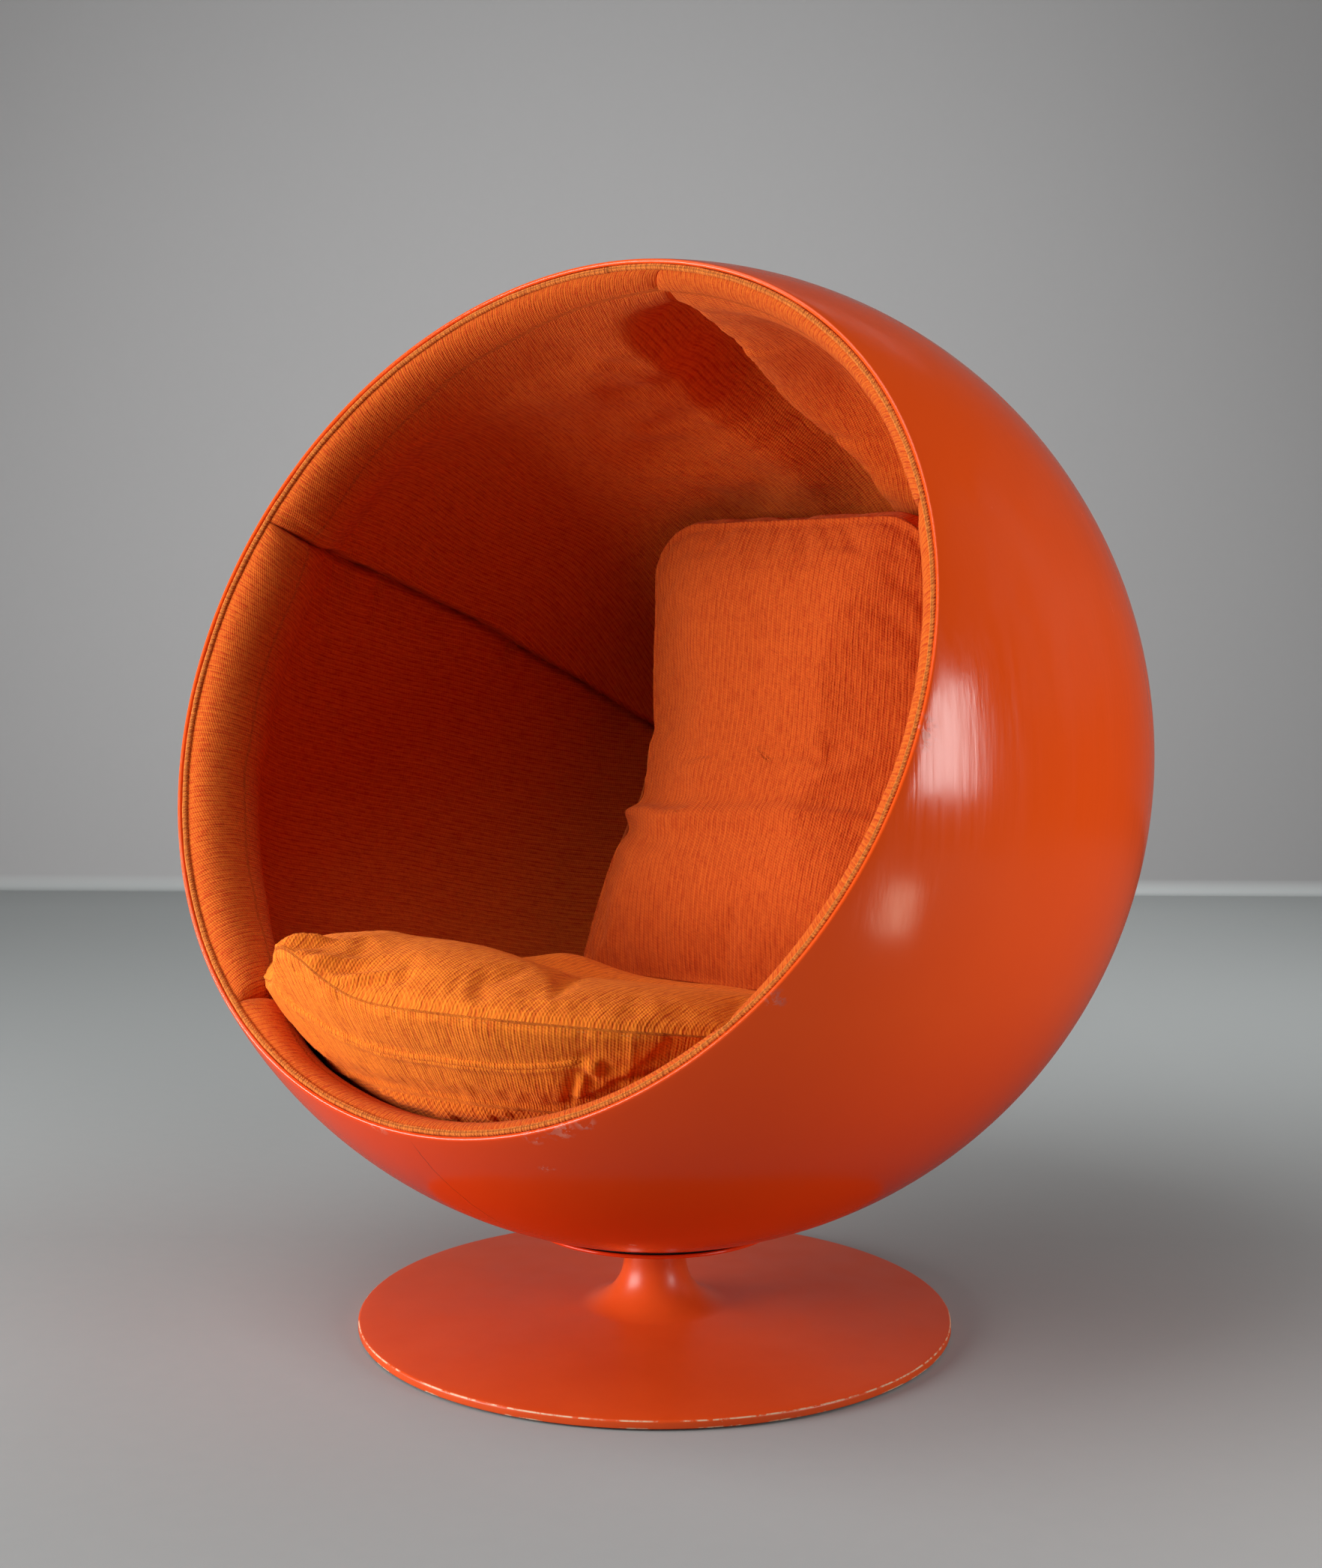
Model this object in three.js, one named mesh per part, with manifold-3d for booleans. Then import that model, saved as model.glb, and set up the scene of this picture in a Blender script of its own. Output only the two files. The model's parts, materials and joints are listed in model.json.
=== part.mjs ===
// A swivelling pod lounge chair: a lacquered moulded ball with one slice cut off, lined with five padded
// panels, with a round seat cushion and a long back cushion, on a flat round foot with a trumpet neck.
// Millimetres, +Z up, the opening faces -Y. The origin is on the floor, on the swivel axis.
// Left and right are as seen from the front.
import * as THREE from 'three';
import { mergeVertices } from 'three/addons/utils/BufferGeometryUtils.js';
import Module from 'manifold-3d';

const wasm = await Module();
wasm.setup();

const TURN = 2 * Math.PI;
const { degToRad } = THREE.MathUtils;

// Clearances
const gap = 0.3; // between pieces that touch
const softGap = 0.5; // between a cushion and what carries it
const overrun = 10; // how far a cutting tool passes through what it cuts

// The moulded ball and its opening
const ballRadius = 550;
const ballClearance = 100; // from the floor to the underside of the ball
const ballWall = 5;
const openingShare = 0.5; // opening plane from the ball's centre, of ballRadius
const openingTilt = degToRad(20); // how far above level the opening looks
const ballSides = 48;
const ballRings = 13;
const noseSteps = 2;

// The padded lining, in five gores that meet at the pole behind the back cushion
const liningThickness = 38;
const seamThickness = 14;
const rimThickness = 7;
const rollLength = 66; // along the ball, from the rim to the full thickness
const pillowWidth = 180; // a gore narrower than this is padded less
const liningPoleRadius = 5;
const rollShares = [0, 0.07, 0.2, 0.45, 1]; // rows of the rolled edge, of rollLength
const liningRows = 10; // rows from the roll to the pole
const pillowPower = 3;
const goreShares = {
  upper_right: [0, 0.1875],
  side_right: [0.1875, 0.375],
  bottom: [0.375, 0.625],
  side_left: [0.625, 0.8125],
  upper_left: [0.8125, 1],
}; // from the top towards +X, of a full turn
const pipingRadius = 3.2;
const pipingSides = 6;

// The seat cushion and the foam block under it
const seatTilt = degToRad(7);
const upperSeamShare = 0.498; // seam planes below the ball's centre, square to the tilted seat, of ballRadius
const lowerSeamShare = 0.658;
const seamDraw = 3; // how far a seam pulls the cover in
const seatHollowCrown = 9; // the sat-in middle, above the upper seam
const seatFrontCrown = 58;
const seatRearCrown = 36;
const seatBottomCrown = 26;
const seatSides = 40;
const seatTopShares = [0, 0.2, 0.4, 0.58, 0.74, 0.87, 0.95];
const seatBoxingShares = [0.33, 0.67];
const seatBottomShares = [0.97, 0.9, 0.7, 0];
const crestShare = 0.75; // where the crown is fullest, of the seam radius
const shoulderPower = 6;
const blockShare = 0.97; // the block's radius, of the room in the lining
const blockEdge = 8; // rounding of the block's upper edge
const blockSides = 24;
const blockRings = 4;

// The back cushion: its front seam runs up these points, (y, z) from the ball's centre, of the lining's
// radius
const backProfileShares = [
  [0.288, -0.509],
  [0.4, -0.256],
  [0.475, -0.128],
  [0.54, 0.063],
  [0.564, 0.363],
  [0.572, 0.568],
];
const backWidthShare = 0.808; // of the lining's radius
const backBoxing = 95;
const backFrontCrown = 40;
const backRearCrown = 25;
const backWaist = 8; // how far the long sides pull in
const backCorner = 55;
const backCornerSteps = 3;
const backEdgeSteps = 7;
const backEndSteps = 5;
const backFaceShares = [0, 0.3, 0.55, 0.77, 0.93];
const backShoulderPower = 3;

// The steel joint between ball and foot
const gasketThickness = 1.2;
const gasketRadius = 134;
const dishThickness = 4;
const dishRadius = 140;
const dishBore = 20;
const dishRings = 3;
const plateThickness = 3;
const plateRadius = 118;
const plateRings = 3;
const jointSides = 24;
const boltCount = 6;
const boltCircle = 85;
const boltRadius = 4;
const boltHeadWidth = 13; // across the flats
const boltHeadHeight = 5.3;
const washerRadius = 8;
const washerThickness = 1.6;
const boltClearance = 0.4;
const boltSides = 8;

// The swivel: spindle, bushes and thrust bearing
const spindleRadius = 15;
const spindleThreadRadius = 10;
const spindleEnd = 3.6;
const collarRadius = 30;
const collarHeight = 13;
const raceThickness = 3;
const ballBearingRadius = 2.5;
const bearingBalls = 10;
const bearingBallSides = 6;
const bearingBallRings = 4;
const cageThickness = 1.6;
const raceInner = 17.5;
const raceOuter = 29.5;
const runningGap = 0.3;
const bushWall = 3.7;
const bushShare = 0.33; // length of each bush, of the tube
const bushFlange = 2;
const bushFlangeRadius = 23;
const tubeWall = 4.6;
const tubeBottom = 17;
const lockWasherThickness = 1.8;
const lockWasherRadius = 21;
const nutWidth = 30;
const nutHeight = 7.6;
const swivelSides = 24;
const raceSides = 20;

// The foot
const footRadius = 341;
const footEdgeTop = 11.2;
const footEdgeRound = 3;
const matThickness = 2;
const matInset = 5;
const neckRadius = 36;
const neckGap = 1.7; // from the neck up to the collar that turns over it
const neckChamfer = 1;
const neckStraight = 6.5; // from the neck's top down to where the flare starts
const flareFoot = 18; // height where the flare ends
const neckBoreWall = 5;
const footWall = 5;
const footEdgeWidth = 9;
const bossWall = 8.7;
const footSides = 48;
const flareSteps = 6;
const ribSteps = 3;
const ribCount = 6;
const ribThickness = 5;
const ribOuter = 150;
const ribFoot = 9; // underside of the ribs
const ballastInner = 160;
const ballastInset = 19; // from the foot's edge to the ballast plate
const ballastThickness = 3;
const screwCount = 6;
const screwRadius = 3;
const screwHeadRadius = 5.5;
const screwLength = 9;
const padRadius = 9; // cast pads that the ballast plate is screwed to
const screwSides = 8;

// Values worked out from those above
const ballCentreHeight = ballClearance + ballRadius;
const ballInner = ballRadius - ballWall;
const openingOffset = ballRadius * openingShare;
const rimAngle = Math.acos(openingOffset / ballRadius);
const sideStep = TURN / ballSides;
const liningInner = ballInner - liningThickness;
const pipingOrbit = ballInner - gap - pipingRadius;
const pipingForward = openingOffset - pipingRadius;
const liningStart = Math.acos(pipingForward / pipingOrbit) + (pipingRadius + 2 * gap) / pipingOrbit;
const liningEnd = Math.PI - Math.asin(liningPoleRadius / ballInner);
const rollEnd = liningStart + rollLength / ballInner;
const rowStep = (liningEnd - rollEnd) / liningRows;
// How far a flat facet dips below its ball, of the ball's radius
const facetShare = 1 - Math.cos(sideStep / 2) * Math.cos(rowStep / 2);
const cushionLimit = liningInner - liningInner * facetShare - softGap;
const padAngles = Array.from({ length: liningRows }, (_, i) => rollEnd + (i + 1) * rowStep);
const rollAngles = rollShares.map((share) => liningStart + (share * rollLength) / ballInner);
const liningAngles = [...rollAngles, ...padAngles];

const upperSeamDepth = ballRadius * upperSeamShare;
const lowerSeamDepth = ballRadius * lowerSeamShare;
const blockTop = lowerSeamDepth + seatBottomCrown + softGap;
const blockRadius = blockShare * Math.sqrt(cushionLimit ** 2 - (blockTop + blockEdge) ** 2);
const backHalfWidth = (liningInner * backWidthShare) / 2;

const dishStep = Math.asin(dishRadius / ballRadius) / dishRings;
const ringSag = ballRadius * (1 - Math.cos(dishStep / 2));
const sideSag = (dishRadius ** 2 / ballRadius) * (1 - Math.cos(TURN / jointSides / 2));
const gasketTop = ballRadius + gap + ringSag + sideSag;
const dishTop = gasketTop + gasketThickness + gap + ringSag;
const dishBottom = dishTop + dishThickness;
const plateBottom = ballInner - ballInner * facetShare - gap;
const plateTop = plateBottom - plateThickness;
const headTop = plateTop - 2 * gap - washerThickness - boltHeadHeight;
const boltLean = Math.asin(boltCircle / ballRadius);

const collarTop = ballCentreHeight - Math.sqrt(dishBottom ** 2 - dishBore ** 2) - gap;
const collarBottom = collarTop - collarHeight;
const upperRaceBottom = collarBottom - gap - raceThickness;
const cageMiddle = upperRaceBottom - gap - ballBearingRadius;
const lowerRaceTop = cageMiddle - ballBearingRadius - gap;
const bearingSeat = lowerRaceTop - raceThickness - gap;
const bushInner = spindleRadius + runningGap;
const tubeInner = bushInner + bushWall + gap;
const tubeOuter = tubeInner + tubeWall;
const upperBushTop = bearingSeat - gap;
const tubeTop = upperBushTop - bushFlange - gap;
const bushLength = bushShare * (tubeTop - tubeBottom);
const castingBore = tubeOuter + gap;
const bossRadius = castingBore + bossWall;
const castingBottom = matThickness + gap;
const screwTop = castingBottom + gap + screwLength;
const lowerFlangeTop = tubeBottom - gap;
const lockWasherTop = lowerFlangeTop - bushFlange - gap;
const lockWasherBottom = lockWasherTop - lockWasherThickness;
const nutTop = lockWasherBottom - gap;

const neckTop = collarBottom - neckGap;
const flareStart = neckTop - neckStraight;
const flareRadius = flareStart - flareFoot;
const ballastOuter = footRadius - ballastInset;
const screwCircle = (ballastInner + ballastOuter) / 2;

// Shapes

// Leaves only positions, merges shared corners and drops triangles without area.
function tidy(geometry) {
  const bare = geometry.clone();
  bare.deleteAttribute('normal');
  bare.deleteAttribute('uv');
  const merged = mergeVertices(bare);
  const corners = merged.index.array;
  const faces = [];
  for (let i = 0; i < corners.length; i += 3) {
    const [a, b, c] = [corners[i], corners[i + 1], corners[i + 2]];
    if (a !== b && b !== c && c !== a) faces.push(a, b, c);
  }
  merged.setIndex(faces);
  return merged;
}

function signedVolume(geometry) {
  const at = geometry.attributes.position;
  const corners = geometry.index.array;
  const [a, b, c] = [new THREE.Vector3(), new THREE.Vector3(), new THREE.Vector3()];
  let sum = 0;
  for (let i = 0; i < corners.length; i += 3) {
    a.fromBufferAttribute(at, corners[i]);
    b.fromBufferAttribute(at, corners[i + 1]);
    c.fromBufferAttribute(at, corners[i + 2]);
    sum += a.dot(b.cross(c));
  }
  return sum / 6;
}

// Turns the faces of a closed surface outwards.
function outward(geometry) {
  const closed = tidy(geometry);
  if (signedVolume(closed) < 0) closed.setIndex(Array.from(closed.index.array).reverse());
  return closed;
}

function solidFrom(geometry) {
  const closed = outward(geometry);
  return new wasm.Manifold(
    new wasm.Mesh({
      numProp: 3,
      vertProperties: new Float32Array(closed.attributes.position.array),
      triVerts: new Uint32Array(closed.index.array),
    }),
  );
}

function geometryFrom(solid) {
  const { vertProperties, triVerts } = solid.getMesh();
  const geometry = new THREE.BufferGeometry();
  geometry.setAttribute('position', new THREE.BufferAttribute(vertProperties, 3));
  geometry.setIndex(new THREE.BufferAttribute(triVerts, 1));
  return geometry;
}

function cut(geometry, ...tools) {
  return geometryFrom(tools.reduce((solid, tool) => solid.subtract(solidFrom(tool)), solidFrom(geometry)));
}

function join(geometry, ...others) {
  return geometryFrom(others.reduce((solid, other) => solid.add(solidFrom(other)), solidFrom(geometry)));
}

// A revolve about +Z of (radius, height) points.
function turned(points, sides) {
  const outline = points.map(([radius, height]) => new THREE.Vector2(radius, height));
  return outward(new THREE.LatheGeometry(outline, sides).rotateX(TURN / 4));
}

function ring(inner, outer, bottom, top, sides) {
  return turned([[inner, bottom], [outer, bottom], [outer, top], [inner, top], [inner, bottom]], sides);
}

function rod(radius, bottom, top, sides) {
  return turned([[0, bottom], [radius, bottom], [radius, top], [0, top]], sides);
}

function hexagon(width, bottom, top) {
  return rod(width / 2 / Math.cos(TURN / 12), bottom, top, 6);
}

// Points of an arc, angles measured from the +radius direction towards +height.
function arc(centre, radius, from, to, steps) {
  return Array.from({ length: steps + 1 }, (_, i) => {
    const angle = from + ((to - from) * i) / steps;
    return [centre[0] + radius * Math.cos(angle), centre[1] + radius * Math.sin(angle)];
  });
}

// A closed skin over loops of points. A loop that has shrunk to a point closes its end; other ends are
// closed by a strip between the loop's first and second half.
function skin(loops) {
  const count = loops[0].length;
  const faces = [];
  for (let row = 0; row + 1 < loops.length; row++) {
    for (let i = 0; i < count; i++) {
      const a = row * count + i;
      const b = row * count + ((i + 1) % count);
      faces.push(a, b, b + count, a, b + count, a + count);
    }
  }
  const last = (loops.length - 1) * count;
  for (let i = 0; i + 1 < count / 2; i++) {
    const [a, b, c, d] = [i, i + 1, count - 2 - i, count - 1 - i];
    faces.push(a, c, b, a, d, c, last + a, last + b, last + c, last + a, last + c, last + d);
  }
  const geometry = new THREE.BufferGeometry();
  const places = loops.flat().flatMap((point) => point.toArray());
  geometry.setAttribute('position', new THREE.Float32BufferAttribute(places, 3));
  geometry.setIndex(faces);
  return outward(geometry);
}

// Frames

const chair = new THREE.Group();
const bowl = new THREE.Group(); // +Z looks out of the opening, +Y is up in the opening's plane
bowl.position.set(0, 0, ballCentreHeight);
bowl.rotation.x = TURN / 4 - openingTilt;
const seat = new THREE.Group(); // +Z is square to the tilted seat, -Y is the front
seat.position.set(0, 0, ballCentreHeight);
seat.rotation.x = -seatTilt;
chair.add(bowl, seat);
chair.updateMatrixWorld(true);

// Moves a geometry given in the chair's frame into a group's own frame.
function into(group, geometry) {
  return geometry.applyMatrix4(group.matrixWorld.clone().invert());
}

// A point on a ball about the bowl's centre: angle from the opening's axis, turn from the top to the right.
function onBall(angle, turn, radius) {
  return new THREE.Vector3(
    radius * Math.sin(angle) * Math.sin(turn),
    radius * Math.sin(angle) * Math.cos(turn),
    radius * Math.cos(angle),
  );
}

// Materials

function finish(color, roughness, metalness = 0) {
  return new THREE.MeshStandardMaterial({ color, roughness, metalness });
}

const lacquer = finish('#cf4517', 0.22);
const footEnamel = finish('#c8431c', 0.32);
const cloth = finish('#cc5a1e', 0.95);
const pipingCloth = finish('#b8702f', 0.9);
const foam = finish('#d9c48a', 0.95);
const steel = finish('#8d9094', 0.4, 1);
const blackSteel = finish('#26262a', 0.5, 0.8);
const nylon = finish('#e6e2d6', 0.5);
const rubber = finish('#1c1c1d', 0.85);

function piece(name, geometry, material, group = chair) {
  const mesh = new THREE.Mesh(geometry, material.clone());
  mesh.name = name;
  group.add(mesh);
  return mesh;
}

// The ball and its fixing

// Tools for the bolts, which all point at the ball's centre.
function radialTools(radius, from, to, sides = boltSides) {
  return Array.from({ length: boltCount }, (_, i) =>
    rod(radius, -to, -from, sides)
      .rotateX(boltLean)
      .rotateZ((TURN * i) / boltCount)
      .translate(0, 0, ballCentreHeight),
  );
}

function ballShell() {
  const outer = arc([0, 0], ballRadius, -TURN / 4, TURN / 4 - rimAngle, ballRings);
  const wallMiddle = ballRadius - ballWall / 2;
  const rim = TURN / 4 - rimAngle;
  const noseCentre = [wallMiddle * Math.cos(rim), wallMiddle * Math.sin(rim)];
  const nose = arc(noseCentre, ballWall / 2, rim, rim + TURN / 2, noseSteps + 1).slice(1);
  const inner = liningAngles.map((angle) => [ballInner * Math.sin(angle), ballInner * Math.cos(angle)]);
  const shell = turned([...outer, ...nose, ...inner, [0, -ballInner]], ballSides);
  const holes = radialTools(boltRadius + boltClearance, ballInner - overrun, ballRadius + overrun);
  return cut(shell, ...holes.map((hole) => into(bowl, hole)));
}

// A dish that follows the underside of the ball, between two radii from the ball's centre.
function dish(near, far, radius, bore, rings) {
  const from = -TURN / 4 + Math.asin(bore / near);
  const to = -TURN / 4 + Math.asin(radius / near);
  const top = arc([0, 0], near, from, to, rings).reverse();
  const bottom = arc([0, 0], far, from, to, rings);
  return turned([...bottom, ...top, bottom[0]], jointSides).translate(0, 0, ballCentreHeight);
}

function drilledDish(near, far, radius, rings, clearance) {
  const holes = radialTools(boltRadius + clearance, near - overrun, far + overrun);
  return cut(dish(near, far, radius, dishBore, rings), ...holes);
}

piece('ball_shell', ballShell(), lacquer, bowl);
const gasketBottom = gasketTop + gasketThickness;
piece('flange_gasket', drilledDish(gasketTop, gasketBottom, gasketRadius, dishRings, boltClearance), rubber);
piece('flange_dish', drilledDish(dishTop, dishBottom, dishRadius, dishRings, gap), lacquer);
piece('inner_plate', drilledDish(plateTop, plateBottom, plateRadius, plateRings, boltClearance), steel);

function bolt() {
  const head = hexagon(boltHeadWidth, -(headTop + boltHeadHeight), -headTop);
  const shank = rod(boltRadius, -dishBottom, -(headTop + boltHeadHeight / 2), boltSides);
  return join(head, shank);
}

const washerTop = -(plateTop - gap - washerThickness);
for (let i = 0; i < boltCount; i++) {
  const place = new THREE.Group();
  place.position.set(0, 0, ballCentreHeight);
  place.rotation.set(boltLean, 0, (TURN * i) / boltCount, 'ZYX');
  chair.add(place);
  piece(`flange_bolt_${i + 1}`, bolt(), steel, place);
  const bore = boltRadius + boltClearance;
  const washer = ring(bore, washerRadius, washerTop - washerThickness, washerTop, boltSides);
  piece(`bolt_washer_${i + 1}`, washer, steel, place);
}

// The lining

// Padding thickness at a row of a gore, across it from -1 at one seam to 1 at the other.
function padding(angle, across, spread) {
  const width = ballInner * Math.sin(angle) * spread;
  const fullness = Math.min(1, width / pillowWidth) * Math.sqrt(1 - Math.abs(across) ** pillowPower);
  const full = seamThickness + (liningThickness - seamThickness) * fullness;
  const along = Math.min(1, ((angle - liningStart) * ballInner) / rollLength);
  return rimThickness + (full - rimThickness) * Math.sqrt(1 - (1 - along) ** 2);
}

function gore([from, to]) {
  const firstStep = Math.round(from * ballSides);
  const steps = Math.round(to * ballSides) - firstStep;
  const loops = liningAngles.map((angle) => {
    const front = [];
    const back = [];
    for (let i = 0; i <= steps; i++) {
      const turn = (firstStep + i) * sideStep;
      const away = i === 0 ? 1 : i === steps ? -1 : 0;
      const shift = new THREE.Vector3(Math.cos(turn), -Math.sin(turn), 0).multiplyScalar((away * gap) / 2);
      const depth = padding(angle, (2 * i) / steps - 1, steps * sideStep);
      front.push(onBall(angle, turn, ballInner - depth).add(shift));
      back.push(onBall(angle, turn, ballInner - gap).add(shift));
    }
    return [...front, ...back.reverse()];
  });
  return skin(loops);
}

// Room in the bottom panel for the inner plate and the bolt heads.
function platePocket() {
  const radius = plateRadius + overrun;
  return into(bowl, dish(headTop - gap, ballInner + overrun, radius, 0, plateRings));
}

for (const [name, shares] of Object.entries(goreShares)) {
  const panel = gore(shares);
  piece(`lining_${name}`, name === 'bottom' ? cut(panel, platePocket()) : panel, cloth, bowl);
}

const pipingCircle = Math.sqrt(pipingOrbit ** 2 - pipingForward ** 2);
const piping = new THREE.TorusGeometry(pipingCircle, pipingRadius, pipingSides, ballSides);
piece('rim_piping', outward(piping.translate(0, 0, pipingForward)), pipingCloth, bowl);

// The seat

// Height of the seat's cover above its upper seam: sat in at the middle, fullest behind the front edge.
function seatCrown(share, frontward) {
  const crest = (seatFrontCrown + seatRearCrown) / 2 + (frontward * (seatFrontCrown - seatRearCrown)) / 2;
  const rise = THREE.MathUtils.smoothstep(share, 0, crestShare);
  return (seatHollowCrown + (crest - seatHollowCrown) * rise) * Math.sqrt(1 - share ** shoulderPower);
}

// The seat cushion in the seat's frame. Growing it makes the tool that seats the back cushion on it.
function seatCushion(grow = 0) {
  const limit = cushionLimit + grow;
  const upper = Math.sqrt(limit ** 2 - upperSeamDepth ** 2) - seamDraw;
  const lower = Math.sqrt(limit ** 2 - lowerSeamDepth ** 2) - seamDraw;
  const loop = (radiusAt, heightAt) =>
    Array.from({ length: seatSides }, (_, i) => {
      const turn = (TURN * i) / seatSides;
      const frontward = Math.cos(turn);
      const radius = radiusAt(frontward);
      return new THREE.Vector3(radius * Math.sin(turn), -radius * frontward, heightAt(frontward));
    });
  const top = seatTopShares.map((share) =>
    loop(() => share * upper, (frontward) => seatCrown(share, frontward) + grow - upperSeamDepth),
  );
  const boxing = seatBoxingShares.map((share) => {
    const depth = upperSeamDepth + share * (lowerSeamDepth - upperSeamDepth);
    return loop(() => Math.sqrt(limit ** 2 - depth ** 2), () => -depth);
  });
  const bottom = seatBottomShares.map((share) => {
    const height = -lowerSeamDepth - seatBottomCrown * Math.sqrt(1 - share ** shoulderPower);
    return loop(() => share * lower, () => height);
  });
  const seams = [loop(() => upper, () => grow - upperSeamDepth), loop(() => lower, () => -lowerSeamDepth)];
  return skin([...top, seams[0], ...boxing, seams[1], ...bottom]);
}

// The foam block that fills the bowl under the seat cushion.
function foamBlock() {
  const reach = Math.asin(blockRadius / cushionLimit);
  const under = arc([0, 0], cushionLimit, -TURN / 4, -TURN / 4 + reach, blockRings);
  const edgeCentre = [blockRadius - blockEdge, -blockTop - blockEdge];
  const edge = arc(edgeCentre, blockEdge, 0, TURN / 4, noseSteps);
  return turned([...under, ...edge, [0, -blockTop]], blockSides);
}

piece('seat_cushion', seatCushion(), cloth, seat);
piece('seat_foam_block', foamBlock(), foam, seat);

// The back cushion

const ballCentre = new THREE.Vector3(0, 0, ballCentreHeight);
const backCurve = new THREE.CatmullRomCurve3(
  backProfileShares.map(([y, z]) => new THREE.Vector3(0, y, z).multiplyScalar(liningInner).add(ballCentre)),
);
const backLength = backCurve.getLength();

// A point of the back cushion: across, up along the profile, and out of its front seam plane.
function onBack(across, up, out) {
  const along = THREE.MathUtils.clamp(up / backLength, 0, 1);
  const point = backCurve.getPointAt(along);
  const tangent = backCurve.getTangentAt(along);
  const beyond = up - along * backLength;
  point.addScaledVector(tangent, beyond);
  point.add(new THREE.Vector3(across, -tangent.z * out, tangent.y * out));
  const reach = point.distanceTo(ballCentre);
  return reach > cushionLimit ? point.sub(ballCentre).setLength(cushionLimit).add(ballCentre) : point;
}

// The cushion's outline, round a middle point: pulled in along its sides, with rounded corners.
function backOutline() {
  const [halfWidth, halfLength] = [backHalfWidth, backLength / 2];
  const pull = (share) => backWaist * (1 - share ** 2);
  const points = [];
  const side = (steps, place) => {
    for (let i = 1; i < steps; i++) points.push(place((2 * i) / steps - 1));
  };
  const corner = (x, y, from) => {
    const centre = [x * (halfWidth - backCorner), y * (halfLength - backCorner)];
    points.push(...arc(centre, backCorner, from, from + TURN / 4, backCornerSteps));
  };
  side(backEdgeSteps, (s) => [halfWidth - pull(s), s * (halfLength - backCorner)]);
  corner(1, 1, 0);
  side(backEndSteps, (s) => [-s * (halfWidth - backCorner), halfLength - pull(s) / 2]);
  corner(-1, 1, TURN / 4);
  side(backEdgeSteps, (s) => [-halfWidth + pull(s), -s * (halfLength - backCorner)]);
  corner(-1, -1, TURN / 2);
  side(backEndSteps, (s) => [s * (halfWidth - backCorner), -halfLength + pull(s) / 2]);
  corner(1, -1, (3 * TURN) / 4);
  return points;
}

function backCushion() {
  const outline = backOutline();
  const loop = (share, inset, out) =>
    outline.map(([x, y]) => {
      const scale = share * (1 - inset / Math.hypot(x, y));
      return onBack(x * scale, backLength / 2 + y * scale, out);
    });
  const crown = (share, height) => height * (1 - share ** backShoulderPower);
  const front = backFaceShares.map((share) => loop(share, 0, crown(share, backFrontCrown)));
  const rear = backFaceShares
    .map((share) => loop(share, 0, -backBoxing - crown(share, backRearCrown)))
    .reverse();
  const seams = [loop(1, seamDraw, 0), loop(1, seamDraw, -backBoxing)];
  const boxing = seatBoxingShares.map((share) => loop(1, 0, -share * backBoxing));
  const pad = skin([...front, seams[0], ...boxing, seams[1], ...rear]);
  return cut(pad, seatCushion(softGap).applyMatrix4(seat.matrixWorld));
}

piece('back_cushion', backCushion(), cloth);

// The swivel, from the ball down

function spindle() {
  const neckTopHeight = ballCentreHeight - gasketTop - gap;
  return turned(
    [
      [0, spindleEnd],
      [spindleThreadRadius, spindleEnd],
      [spindleThreadRadius, lockWasherTop],
      [spindleRadius, lockWasherTop],
      [spindleRadius, collarBottom],
      [collarRadius, collarBottom],
      [collarRadius, collarTop],
      [dishBore - gap, collarTop],
      [dishBore - gap, neckTopHeight],
      [0, neckTopHeight],
    ],
    swivelSides,
  );
}

// A bush with a flange on its upper or lower end.
function bush(bottom, flangeBottom) {
  const body = ring(bushInner, bushInner + bushWall, bottom, bottom + bushLength, swivelSides);
  const flange = ring(bushInner, bushFlangeRadius, flangeBottom, flangeBottom + bushFlange, swivelSides);
  return join(body, flange);
}

// The ball cage: a thin washer that holds the balls.
function ballCage() {
  const orbit = (raceInner + raceOuter) / 2;
  const cageBottom = cageMiddle - cageThickness / 2;
  const washer = ring(raceInner, raceOuter, cageBottom, cageBottom + cageThickness, raceSides);
  const balls = Array.from({ length: bearingBalls }, (_, i) => {
    const turn = (TURN * i) / bearingBalls;
    return new THREE.SphereGeometry(ballBearingRadius, bearingBallSides, bearingBallRings)
      .rotateX(TURN / 4)
      .translate(orbit * Math.cos(turn), orbit * Math.sin(turn), cageMiddle);
  });
  return join(washer, ...balls);
}

piece('spindle', spindle(), blackSteel);
const race = (bottom) => ring(raceInner, raceOuter, bottom, bottom + raceThickness, raceSides);
piece('upper_race', race(upperRaceBottom), blackSteel);
piece('ball_cage', ballCage(), steel);
piece('lower_race', race(lowerRaceTop - raceThickness), blackSteel);
piece('upper_bush', bush(upperBushTop - bushLength, upperBushTop - bushFlange), nylon);
piece('lower_bush', bush(lowerFlangeTop - bushFlange, lowerFlangeTop - bushFlange), nylon);
piece('post_tube', ring(tubeInner, tubeOuter, tubeBottom, tubeTop, swivelSides), steel);
const threadBore = spindleThreadRadius + gap;
const lockWasher = ring(threadBore, lockWasherRadius, lockWasherBottom, lockWasherTop, swivelSides);
piece('lock_washer', lockWasher, steel);
const nutBore = rod(threadBore, 0, nutTop + overrun, swivelSides);
piece('lock_nut', cut(hexagon(nutWidth, nutTop - nutHeight, nutTop), nutBore), steel);

// The foot

const flareCentre = [neckRadius + flareRadius, flareStart];
const footSlope = Math.atan2(flareFoot - footEdgeTop, footRadius - footEdgeRound - flareCentre[0]);
const slopeEnd = (3 * TURN) / 4 - footSlope; // on the flare's arc, where the disc's slope takes over
const bossAngle = Math.acos((flareCentre[0] - bossRadius) / (flareRadius + footWall)); // hollow's top
const padBottom = castingBottom + gap + ballastThickness + gap;

// Underside of the foot's skin at a radius outside the flare.
function undersideAt(radius) {
  return footEdgeTop - footWall + (footRadius - footEdgeRound - radius) * Math.tan(footSlope);
}

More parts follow.
